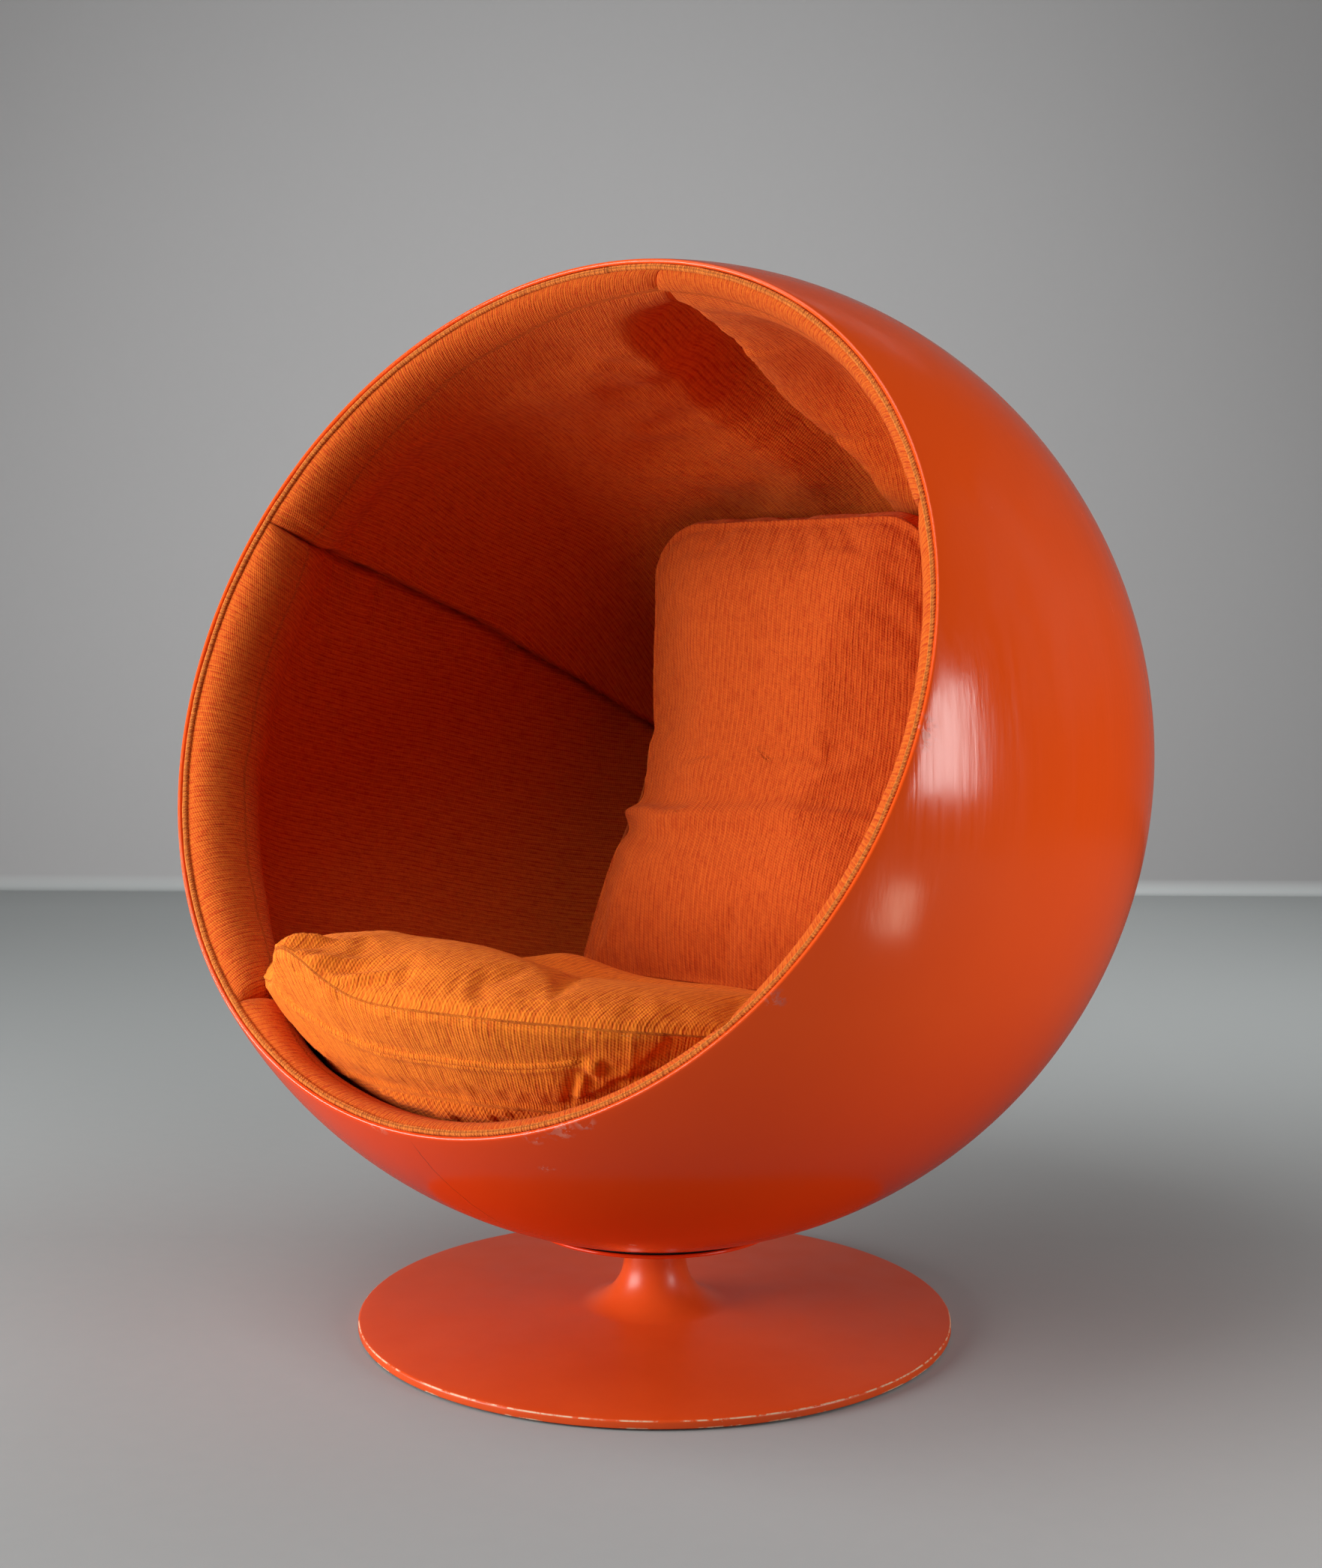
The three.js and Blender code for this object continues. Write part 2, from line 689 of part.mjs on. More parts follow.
function footRevolve() {
  const edgeCentre = [footRadius - footEdgeRound, footEdgeTop - footEdgeRound];
  const edge = arc(edgeCentre, footEdgeRound, 0, TURN / 4 - footSlope, noseSteps);
  const flare = arc(flareCentre, flareRadius, slopeEnd, TURN / 2, flareSteps);
  const hollow = arc(flareCentre, flareRadius + footWall, TURN / 2 + bossAngle, slopeEnd, flareSteps);
  const lip = footRadius - footEdgeWidth;
  return turned(
    [
      [footRadius, castingBottom],
      ...edge,
      ...flare,
      [neckRadius, neckTop - neckChamfer],
      [neckRadius - neckChamfer, neckTop],
      [neckRadius - neckBoreWall, neckTop],
      [neckRadius - neckBoreWall, bearingSeat],
      [castingBore, bearingSeat],
      [castingBore, tubeBottom],
      [bossRadius, tubeBottom],
      ...hollow,
      [lip, undersideAt(lip)],
      [lip, castingBottom],
      [footRadius, castingBottom],
    ],
    footSides,
  );
}

// One rib under the flare, from the boss outwards. Its upper edge ends inside the flare's wall.
function rib(turn) {
  const start = bossRadius - bossWall / 2;
  const crest = arc(flareCentre, flareRadius + footWall / 2, slopeEnd, TURN / 2 + bossAngle, ribSteps);
  const foot = [[start, tubeBottom], [ribOuter, ribFoot], [ribOuter, undersideAt(ribOuter) + footWall / 2]];
  const corners = [...foot, ...crest, [start, crest[ribSteps][1]]];
  const outline = new THREE.Shape(corners.map(([x, y]) => new THREE.Vector2(x, y)));
  return new THREE.ExtrudeGeometry(outline, { depth: ribThickness, bevelEnabled: false })
    .translate(0, 0, -ribThickness / 2)
    .rotateX(TURN / 4)
    .rotateZ(turn);
}

function aroundFoot(count, make) {
  return Array.from({ length: count }, (_, i) => make((TURN * (i + 1 / 2)) / count));
}

// Copies of a form on the screws' circle.
function onScrews(make) {
  return aroundFoot(screwCount, (turn) =>
    make().translate(screwCircle * Math.cos(turn), screwCircle * Math.sin(turn), 0),
  );
}

function footCasting() {
  const ribs = aroundFoot(ribCount, rib);
  const padTop = undersideAt(screwCircle) + footWall / 2;
  const pads = onScrews(() => rod(padRadius, padBottom, padTop, screwSides));
  const holes = onScrews(() => rod(screwRadius + gap, padBottom - overrun, screwTop + gap, screwSides));
  return cut(join(footRevolve(), ...ribs, ...pads), ...holes);
}

// A countersunk screw, head down, and the same form grown as the tool for its seat.
function screw(grow = 0) {
  const bottom = castingBottom + gap - grow;
  const coneTop = bottom + screwHeadRadius - screwRadius + grow;
  return turned(
    [
      [0, bottom],
      [screwHeadRadius + grow, bottom],
      [screwRadius + grow, coneTop],
      [screwRadius + grow, screwTop],
      [0, screwTop],
    ],
    screwSides,
  );
}

function ballastPlate() {
  const bottom = castingBottom + gap;
  const plate = ring(ballastInner, ballastOuter, bottom, bottom + ballastThickness, footSides);
  return cut(plate, ...onScrews(() => screw(gap)));
}

piece('foot_casting', footCasting(), footEnamel);
piece('ballast_plate', ballastPlate(), blackSteel);
onScrews(screw).forEach((fastener, i) => piece(`ballast_screw_${i + 1}`, fastener, steel));
piece('floor_mat', rod(footRadius - matInset, 0, matThickness, footSides), rubber);

export default chair;
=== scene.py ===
import json
import math

import bpy
import numpy as np
from mathutils import Matrix, Vector
from mathutils.kdtree import KDTree


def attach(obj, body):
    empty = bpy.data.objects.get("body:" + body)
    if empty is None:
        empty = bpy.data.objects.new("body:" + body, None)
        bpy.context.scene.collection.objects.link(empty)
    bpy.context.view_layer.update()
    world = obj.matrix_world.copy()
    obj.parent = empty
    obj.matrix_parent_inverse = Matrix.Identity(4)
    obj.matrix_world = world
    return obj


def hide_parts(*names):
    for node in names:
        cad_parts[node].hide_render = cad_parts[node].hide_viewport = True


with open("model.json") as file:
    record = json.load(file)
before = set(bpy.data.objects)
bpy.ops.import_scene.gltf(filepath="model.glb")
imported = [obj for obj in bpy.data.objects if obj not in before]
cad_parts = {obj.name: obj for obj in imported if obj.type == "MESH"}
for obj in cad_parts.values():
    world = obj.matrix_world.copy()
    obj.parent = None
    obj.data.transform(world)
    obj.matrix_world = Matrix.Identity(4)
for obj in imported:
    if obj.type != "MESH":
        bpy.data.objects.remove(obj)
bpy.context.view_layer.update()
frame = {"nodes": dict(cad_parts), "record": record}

# The visual model of the swivelling pod lounge chair. Metres, in the frame of the CAD model: +Z up, the opening
# faces -Y, left and right are as seen from the front.

TURN = 2 * math.pi

# Sizes repeated from the CAD model. The cushions and the foam stay inside LIMIT, and the angles are tilts about X.
BALL = 0.550
WALL = 0.005
CENTRE = np.array([0.0, 0.0, 0.650])
OPENING = 0.275
TILT = math.radians(20)
INNER = BALL - WALL
PIPE_RADIUS = 0.0032
PIPE_ORBIT = 0.5415
PIPE_FORWARD = OPENING - PIPE_RADIUS
PIPE_CIRCLE = math.sqrt(PIPE_ORBIT**2 - PIPE_FORWARD**2)
ROLL_START = math.acos(PIPE_FORWARD / PIPE_ORBIT) + 0.0038 / PIPE_ORBIT
PAD = 0.038
EDGE_PAD = 0.026
RIM_PAD = 0.007
LIMIT = 0.503
SEAT_TILT = math.radians(7)
UPPER_SEAM = BALL * 0.498
LOWER_SEAM = BALL * 0.658
BLOCK_TOP = LOWER_SEAM + 0.026 + 0.0005
BACK_SCALE = 0.507
BACK_PROFILE = [
    (0.268, -0.560), (0.288, -0.509), (0.4, -0.256), (0.475, -0.128), (0.54, 0.063), (0.564, 0.363), (0.572, 0.568),
]
BACK_HALF_WIDTH = 0.2048
BACK_BOXING = 0.095
FOOT_RADIUS = 0.341

# Cushion seams lie this far inside LIMIT, and the seat's side is this far from its middle for lengths round it
SEAM_INSET = 0.003
SEAT_SIDE = 0.42
SEAT_DEGREE = math.radians(SEAT_SIDE)


def turned_frame(angle):
    """A frame at the ball's centre, turned about X."""
    return Matrix.Translation(CENTRE.tolist()) @ Matrix.Rotation(angle, 4, "X")


BOWL = turned_frame(TURN / 4 - TILT)
SEAT = turned_frame(-SEAT_TILT)


def moved(points, matrix):
    m = np.array(matrix)
    return np.asarray(points) @ m[:3, :3].T + m[:3, 3]


class Noise:
    """Smooth value noise on a repeating lattice, from -1 to 1."""

    def __init__(self, seed, size=32):
        self.size = size
        self.table = np.random.default_rng(seed).uniform(-1, 1, (size, size, size))

    def __call__(self, x, y, z=0.0):
        p = np.stack(np.broadcast_arrays(x, y, z), -1).astype(float)
        base = np.floor(p).astype(int)
        f = p - base
        f = f * f * (3 - 2 * f)
        total = 0
        for corner in np.ndindex(2, 2, 2):
            weight = np.prod(np.where(corner, f, 1 - f), axis=-1)
            i = (base + corner) % self.size
            total = total + weight * self.table[i[..., 0], i[..., 1], i[..., 2]]
        return total

    def layered(self, x, y, z=0.0, layers=3):
        total, gain = 0, 1
        for k in range(layers):
            total = total + gain * self(x * 2**k + 7.3 * k, y * 2**k + 3.1 * k, z * 2**k)
            gain *= 0.5
        return total


def smooth(value, low, high):
    t = np.clip((value - low) / (high - low), 0, 1)
    return t * t * (3 - 2 * t)


def bell(value, width):
    return np.exp(-((value / width) ** 2))


def fade(distance, length):
    return np.exp(-distance / length)


def softened(value, table, reach):
    """Interpolates a table of (place, value) with its corners rounded."""
    return sum(np.interp(value + shift, *np.array(table).T) for shift in (-reach, 0, reach)) / 3


def sampled(value, at, rows):
    """Interpolates each column of rows that lie at ascending places."""
    return [np.interp(value, at, column) for column in np.transpose(rows)]


def lengths_along(path):
    return np.concatenate([[0], np.cumsum(np.linalg.norm(np.diff(path, axis=0), axis=1))])


# Meshes


def linked(name, data):
    """A new object in the scene."""
    made = bpy.data.objects.new(name, data)
    bpy.context.scene.collection.objects.link(made)
    return made


def piece(name, points, faces, slot, replaces=(), weave=None, material=None, body="pod"):
    """A mesh object on a body. weave gives one (across, along) in metres for each vertex or each corner."""
    mesh = bpy.data.meshes.new(name)
    mesh.from_pydata(np.asarray(points).tolist(), [], faces)
    mesh.validate()
    if weave is not None:
        weave = np.asarray(weave, np.float32)
        corners = np.zeros(len(mesh.loops), np.int32)
        mesh.loops.foreach_get("vertex_index", corners)
        layer = mesh.uv_layers.new(name="weave")
        layer.uv.foreach_set("vector", (weave if len(weave) == len(corners) else weave[corners]).ravel())
    mesh.polygons.foreach_set("use_smooth", np.ones(len(mesh.polygons), bool))
    mesh.materials.append(material or MATERIALS[slot])
    made = linked(name, mesh)
    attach(made, body)
    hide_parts(*replaces)
    return made


def ring_faces(rows, count, start=0, wrap=False, flip=False):
    """Quads between neighbouring rings of points."""
    faces = []
    for i in range(rows if wrap else rows - 1):
        low, high = start + i * count, start + (i + 1) % rows * count
        for j in range(count):
            n = (j + 1) % count
            a, b, c, d = low + j, low + n, high + n, high + j
            faces.append((a, d, c, b) if flip else (a, b, c, d))
    return faces


def ring_caps(rows, count, start=0):
    """A face on each end of a row of rings."""
    last = start + (rows - 1) * count
    return [tuple(range(start, start + count)), tuple(range(last, last + count))[::-1]]


def revolved(outline, sides, matrix=None):
    """Points and faces of a revolve about Z of (radius, height) points. Ends on the axis close by themselves;
    another outline is taken as a closed ring."""
    outline = np.asarray(outline, float)
    ends = [outline[0][0] < 1e-9, outline[-1][0] < 1e-9]
    ring = outline[1 if ends[0] else 0 : -1 if ends[1] else None]
    a = np.arange(sides) * TURN / sides
    grid = np.stack([ring[:, :1] * np.cos(a), ring[:, :1] * np.sin(a), np.repeat(ring[:, 1:], sides, 1)], -1)
    points = grid.reshape(-1, 3).tolist()
    rows = len(ring)
    faces = ring_faces(rows, sides, wrap=not any(ends))
    if ends[0]:
        points.append([0, 0, outline[0][1]])
        faces += [(len(points) - 1, (j + 1) % sides, j) for j in range(sides)]
    if ends[1]:
        points.append([0, 0, outline[-1][1]])
        last = (rows - 1) * sides
        faces += [(len(points) - 1, last + j, last + (j + 1) % sides) for j in range(sides)]
    points = np.array(points)
    return (points if matrix is None else moved(points, matrix)), faces


def arc(centre, radius, start, end, steps):
    return [
        (centre[0] + radius * math.cos(a), centre[1] + radius * math.sin(a))
        for a in np.linspace(start, end, steps + 1)
    ]


def pad_faces(rows, count):
    """Faces over rows of closed loops whose second half runs back under the first, with both ends closed."""
    faces = ring_faces(rows, count)
    last = (rows - 1) * count
    for j in range(count // 2 - 1):
        a, b, c, d = j, j + 1, count - 2 - j, count - 1 - j
        faces += [(b, a, d, c), (last + a, last + b, last + c, last + d)]
    return faces


def nearest(points):
    """A tree that finds the points nearest to a place."""
    tree = KDTree(len(points))
    for index, place in enumerate(points):
        tree.insert(place, index)
    tree.balance()
    return tree


# Materials


class Shader:
    """Builds a node material in few words."""

    def __init__(self, name):
        self.material = bpy.data.materials.new(name)
        self.material.use_nodes = True
        self.tree = self.material.node_tree
        self.tree.nodes.clear()
        self.out = self.tree.nodes.new("ShaderNodeOutputMaterial")
        self.surface = self.tree.nodes.new("ShaderNodeBsdfPrincipled")
        self.tree.links.new(self.surface.outputs[0], self.out.inputs[0])

    def set(self, **values):
        self.wire(self.surface, **values)

    def wire(self, node, **values):
        """Sets or links a node's inputs by name."""
        for key, value in values.items():
            if value is not None:
                self.feed(node.inputs[key.replace("_", " ")], value)

    def feed(self, socket, value):
        if isinstance(value, bpy.types.NodeSocket):
            self.tree.links.new(value, socket)
        elif isinstance(value, (tuple, list)) and len(value) == 3 and socket.type == "RGBA":
            socket.default_value = (*value, 1)
        else:
            socket.default_value = value

    def node(self, kind, *values, **settings):
        made = self.tree.nodes.new("ShaderNode" + kind)
        for key, value in settings.items():
            setattr(made, key, value)
        for socket, value in zip(made.inputs, values):
            if value is not None:
                self.feed(socket, value)
        return made

    def math(self, operation, a, b=0.0, c=0.0):
        return self.node("Math", a, b, c, operation=operation).outputs[0]

    def times(self, a, b, plus=None):
        """a times b, with something added where it is given."""
        if plus is None:
            return self.math("MULTIPLY", a, b)
        return self.math("MULTIPLY_ADD", a, b, plus)

    def wave(self, value, pitch, phase=None):
        """From 0 to 1 and back over each pitch of a value."""
        return self.times(self.math("SINE", self.times(value, TURN / pitch, phase)), 0.5, 0.5)

    def rise(self, value, low, high, start=0.0, end=1.0):
        """Straight from start to end between two values, and level past them."""
        return self.node("MapRange", value, low, high, start, end).outputs[0]

    def dot(self, a, b):
        return self.node("VectorMath", a, b, operation="DOT_PRODUCT").outputs["Value"]

    def split(self, vector):
        return self.node("SeparateXYZ", vector).outputs

    def joined(self, x, y, z):
        return self.node("CombineXYZ", x, y, z).outputs[0]

    def place(self):
        return self.node("TexCoord").outputs["Object"]

    def weave(self):
        return self.node("UVMap", uv_map="weave").outputs[0]

    def noise(self, vector, scale, detail=2.0, roughness=0.5, distortion=0.0):
        """Noise at one scale, or at another along each axis."""
        made = self.node("TexNoise")
        if isinstance(scale, tuple):
            vector, scale = self.node("Mapping", vector, (0, 0, 0), (0, 0, 0), scale).outputs[0], 1.0
        self.wire(made, Vector=vector, Scale=scale, Detail=detail, Roughness=roughness, Distortion=distortion)
        return made.outputs[0]

    def ramp(self, value, *stops):
        """A ramp over (position, colour or grey) stops."""
        made = self.node("ValToRGB", value)
        band = made.color_ramp
        while len(band.elements) < len(stops):
            band.elements.new(0.5)
        for element, (position, colour) in zip(band.elements, stops):
            element.position = position
            grey = isinstance(colour, (int, float))
            element.color = (colour, colour, colour, 1) if grey else (*colour, 1)
        return made.outputs[0]

    def mix(self, factor, a, b, blend="MIX"):
        made = self.node("Mix", data_type="RGBA", blend_type=blend)
        self.feed(made.inputs[0], factor)
        self.feed(made.inputs[6], a)
        self.feed(made.inputs[7], b)
        return made.outputs[2]

    def spot(self, vector, centre, radius, softness):
        """1 inside a ball about a place, fading to 0 past its radius."""
        away = self.node("VectorMath", vector, centre, operation="DISTANCE").outputs["Value"]
        return self.rise(away, radius, radius + softness, 1.0, 0.0)

    def bump(self, height, distance, strength=1.0, normal=None):
        made = self.node("Bump")
        self.wire(made, Height=height, Distance=distance, Strength=strength, Normal=normal)
        return made.outputs[0]


def cloth(name, light, dark):
    """A coarse ribbed weave: ribs run along the second weave coordinate, with slubs and darker yarns, and painted
    shade: the colour follows the ribs' height, so their grooves are painted darker.
    """
    s = Shader(name)
    place = s.weave()
    across, along = s.split(place)[:2]
    wander = s.noise(place, (45, 7, 1), 2.0)
    drift = s.times(wander, 0.0030, across)
    rib = s.wave(drift, 0.0033)
    stripe = s.wave(drift, 0.0067)
    knit = s.wave(along, 0.0031, s.times(drift, TURN / 0.0066))
    slub = s.ramp(s.noise(place, (300, 48, 1), 2.0, 0.65), (0.36, 0.0), (0.54, 1.0))
    band = s.noise(place, (90, 5.0, 1), 3.0, 0.6)
    cross = s.noise(place, (120, 330, 1), 2.0, 0.6)
    height = s.times(rib, 0.30, s.times(knit, 0.26))
    height = s.times(slub, 0.34, s.times(cross, 0.30, height))
    # Painted shade: the tone rises with the ribs' height, so the grooves are painted darker; bands, stripes and
    # cross yarns add the cloth's own tone.
    tone = s.times(height, 0.52, s.times(band, 0.20, -0.11))
    tone = s.times(stripe, 0.16, s.times(cross, 0.22, tone))
    colour = s.ramp(tone, (0.24, dark), (0.76, light))
    s.set(Base_Color=colour, Roughness=0.92, Normal=s.bump(height, 0.0012, 0.8))
    s.set(Sheen_Weight=0.10, Sheen_Roughness=0.5, Sheen_Tint=(1.0, 0.55, 0.25), Specular_IOR_Level=0.12)
    return s.material


def thread(name, colour):
    """Sewing thread, a little twisted."""
    s = Shader(name)
    twist = s.noise(s.place(), 900.0, 2.0)
    shade = tuple(0.6 * c for c in colour)
    s.set(Base_Color=s.mix(twist, shade, colour), Roughness=0.7, Normal=s.bump(twist, 0.0001, 0.5))
    return s.material


def lacquer():
    """Glossy hand-sprayed lacquer with faint upright streaks, a hairline and chips along the moulded edge, and
    painted shade that darkens its colour towards the bottom of the ball.
    """
    s = Shader("lacquer")
    place = s.place()
    tone = s.noise(place, 3.2, 4.0, 0.6)
    colour = s.mix(tone, (0.79, 0.070, 0.0068), (0.87, 0.093, 0.0092))
    level = s.split(place)[2]
    # Painted shade: from 0.44 m down to 0.20 m the lacquer's colour turns darker and redder towards the bottom of
    # the ball.
    colour = s.mix(s.rise(level, 0.44, 0.20), colour, (0.74, 0.040, 0.0032))
    streaks = s.noise(place, (150, 150, 3.0), 3.0, 0.7)
    smear = s.noise(place, (30, 30, 4.0), 3.0, 0.6)
    streaks = s.times(smear, 0.6, s.times(streaks, 0.4))
    streaks = s.times(s.math("SUBTRACT", streaks, 0.5), s.rise(level, 0.40, 0.65))
    rough = s.ramp(s.math("ADD", streaks, 0.5), (0.35, 0.10), (0.70, 0.28))
    wear = 0.0
    chip_noise = s.noise(place, 95.0, 4.0, 0.65, 0.4)
    for centre, radius in CHIPS:
        near = s.spot(place, centre, radius, radius)
        wear = s.math("MAXIMUM", wear, s.times(near, s.ramp(chip_noise, (0.50, 0.0), (0.56, 1.0))))
    patch = s.mix(s.noise(place, 60.0, 2.0), (0.50, 0.020, 0.004), (0.95, 0.28, 0.17))
    colour = s.mix(wear, colour, patch)
    rough = s.times(wear, 0.12, rough)
    crack = s.node("VectorMath", place, HAIRLINE[0], operation="SUBTRACT").outputs[0]
    side = s.times(s.noise(place, 30.0, 3.0), 0.006, s.dot(crack, HAIRLINE[1]))
    thin = s.math("LESS_THAN", s.math("ABSOLUTE", s.math("SUBTRACT", side, 0.003)), 0.0005)
    line = s.times(thin, s.spot(place, HAIRLINE[2], 0.085, 0.02))
    colour = s.mix(s.times(line, 0.7), colour, (0.10, 0.008, 0.002))
    peel = s.bump(s.noise(place, 420.0, 1.0), 0.00003, 0.4)
    peel = s.bump(s.noise(place, 9.0, 2.0), 0.0016, 0.25, peel)
    peel = s.bump(streaks, 0.0010, 0.45, peel)
    s.set(Base_Color=colour, Roughness=rough, Normal=s.bump(wear, 0.0002, 0.25, peel), Specular_IOR_Level=0.30)
    return s.material


def enamel():
    """Painted cast metal: worn to a pale primer along both edges of the disc, with scuffs."""
    s = Shader("foot_enamel")
    place = s.place()
    x, y, height = s.split(place)
    radius = s.node("VectorMath", s.joined(x, y, 0.0), operation="LENGTH").outputs["Value"]
    tone = s.noise(place, 9.0, 5.0, 0.65)
    colour = s.mix(tone, (0.58, 0.056, 0.0075), (0.70, 0.082, 0.0120))
    grain = s.noise(place, 70.0, 5.0, 0.7)
    fleck = s.noise(place, 26.0, 4.0, 0.6)
    edge = s.rise(radius, FOOT_RADIUS - 0.0017, FOOT_RADIUS - 0.0011)
    upper = s.times(s.times(edge, s.rise(height, 0.0094, 0.0098)), s.ramp(fleck, (0.40, 0.0), (0.48, 1.0)))
    lower = s.times(s.times(edge, s.rise(height, 0.0040, 0.0032)), s.ramp(fleck, (0.52, 0.0), (0.56, 1.0)))
    worn = s.times(s.math("MAXIMUM", upper, lower), s.ramp(grain, (0.42, 0.0), (0.50, 1.0)))
    near = s.rise(radius, FOOT_RADIUS - 0.012, FOOT_RADIUS - 0.002)
    dots = s.times(near, s.ramp(s.noise(place, 160.0, 3.0, 0.6), (0.74, 0.0), (0.76, 1.0)))
    worn = s.math("MAXIMUM", worn, dots)
    colour = s.mix(worn, colour, (0.66, 0.46, 0.30))
    scuff = s.noise(place, (20, 20, 60), 1.0)
    rough = s.ramp(scuff, (0.30, 0.31), (0.75, 0.38))
    normal = s.bump(s.noise(place, 300.0, 2.0), 0.00004, 0.15, s.bump(worn, 0.0001, -0.3))
    s.set(Base_Color=colour, Roughness=rough, Normal=normal, Specular_IOR_Level=0.30)
    return s.material


def metal(name, colour, rough, metallic=1.0):
    """Turned or pressed steel with a fine brushed grain."""
    s = Shader(name)
    place = s.place()
    brushed = s.noise(place, (60, 60, 1800), 3.0, 0.6)
    spots = s.noise(place, 120.0, 4.0, 0.6)
    shade = tuple(0.75 * c for c in colour)
    s.set(Base_Color=s.mix(spots, shade, colour), Metallic=metallic)
    s.set(Roughness=s.ramp(brushed, (0.3, rough * 0.8), (0.7, min(1.0, rough * 1.3))))
    s.set(Normal=s.bump(brushed, 0.00004, 0.4))
    return s.material


def matte(name, colour, rough, grain_scale, depth):
    """A moulded or foamed material with a fine grain."""
    s = Shader(name)
    place = s.place()
    grain = s.noise(place, grain_scale, 4.0, 0.6)
    shade = tuple(0.72 * c for c in colour)
    s.set(Base_Color=s.mix(grain, shade, colour), Roughness=rough, Normal=s.bump(grain, depth, 0.6))
    return s.material


# Places of wear on the shell, in metres, and the hairline: a point on it, its direction across and its middle
CHIPS = [
    ((-0.0423, -0.4255, 0.3041), 0.009),
    ((0.1462, -0.4119, 0.3162), 0.007),
    ((0.1733, -0.4092, 0.3260), 0.009),
    ((0.2002, -0.4034, 0.3343), 0.006),
    ((0.1376, -0.3804, 0.2773), 0.005),
    ((0.3756, -0.3550, 0.4618), 0.006),
    ((0.4740, -0.2745, 0.6999), 0.010),
    ((0.1213, -0.2162, 0.1590), 0.003),
]
HAIRLINE = ((-0.0040, -0.4124, 0.2861), (1.0, 0.0, 0.02), (0.0020, -0.3400, 0.2200))

MATERIALS = {
    "lacquer": lacquer(),
    "foot_enamel": enamel(),
    "cloth": cloth("lining_cloth", (0.70, 0.144, 0.014), (0.45, 0.036, 0.0045)),
    "piping": cloth("piping_cloth", (0.78, 0.22, 0.035), (0.34, 0.062, 0.012)),
    "foam": matte("foam", (0.70, 0.55, 0.25), 0.95, 400.0, 0.0004),
    "steel": metal("steel", (0.55, 0.56, 0.58), 0.38),
    "black_steel": metal("black_steel", (0.05, 0.05, 0.055), 0.5, 0.8),
    "nylon": matte("nylon", (0.79, 0.76, 0.67), 0.5, 200.0, 0.0001),
    "rubber": matte("rubber", (0.016, 0.016, 0.017), 0.85, 300.0, 0.0002),
}
# The seat takes a lighter, yellower copy of the lining's cloth: painted light where the lamps fall strongly on it.
SEAT_CLOTH_PAINTED_LIGHT = cloth("seat_cloth_painted_light", (0.90, 0.225, 0.016), (0.52, 0.070, 0.006))
# The back takes a darker copy of the lining's cloth: painted shade.
BACK_CLOTH_PAINTED_SHADE = cloth("back_cloth_painted_shade", (0.66, 0.115, 0.014), (0.42, 0.042, 0.006))
THREAD = thread("thread", (0.85, 0.33, 0.07))

for part in frame["record"]["subparts"]:
    node = frame["nodes"][part["node"]]
    node.data.materials.clear()
    node.data.materials.append(MATERIALS[part["material_slot"]])


# The moulded ball, its dish and gasket


def shell():
    """The ball: a thin wall between two arcs, with a round edge at the opening."""
    rim = TURN / 4 - math.acos(OPENING / BALL)
    outer = arc((0, 0), BALL, -TURN / 4, rim, 120)
    middle = BALL - WALL / 2
    nose = arc((middle * math.cos(rim), middle * math.sin(rim)), WALL / 2, rim, rim + TURN / 2, 10)[1:-1]
    inner = arc((0, 0), INNER, rim, -TURN / 4, 60)
    outline = [(0.0, -BALL)] + outer[1:] + nose + inner[:-1] + [(0.0, -INNER)]
    points, faces = revolved(outline, 256, BOWL)
    piece("shell_moulding", points, faces, "lacquer", ["ball_shell"])


def dish(name, near, far, radius, slot, node):
    """A dish under the ball with a bore and a rounded edge."""
    bore = 0.020
    start = -TURN / 4 + math.asin(bore / near)
    end = -TURN / 4 + math.asin(radius / near)
    lower = arc((0, 0), far, start, end, 40)
    upper = arc((0, 0), near, end, start, 40)
    middle = (near + far) / 2
    half = (far - near) / 2
    edge = arc((middle * math.cos(end), middle * math.sin(end)), half, end, end + TURN / 2, 6)
    outline = lower[:-1] + edge + upper[1:]
    points, faces = revolved(outline, 160, Matrix.Translation(CENTRE.tolist()))
    piece(name, points, faces, slot, [node])


shell()
dish("dish_pressing", 0.5531, 0.5571, 0.140, "lacquer", "flange_dish")
dish("gasket_ring", 0.5512, 0.5524, 0.134, "rubber", "flange_gasket")


# The foot


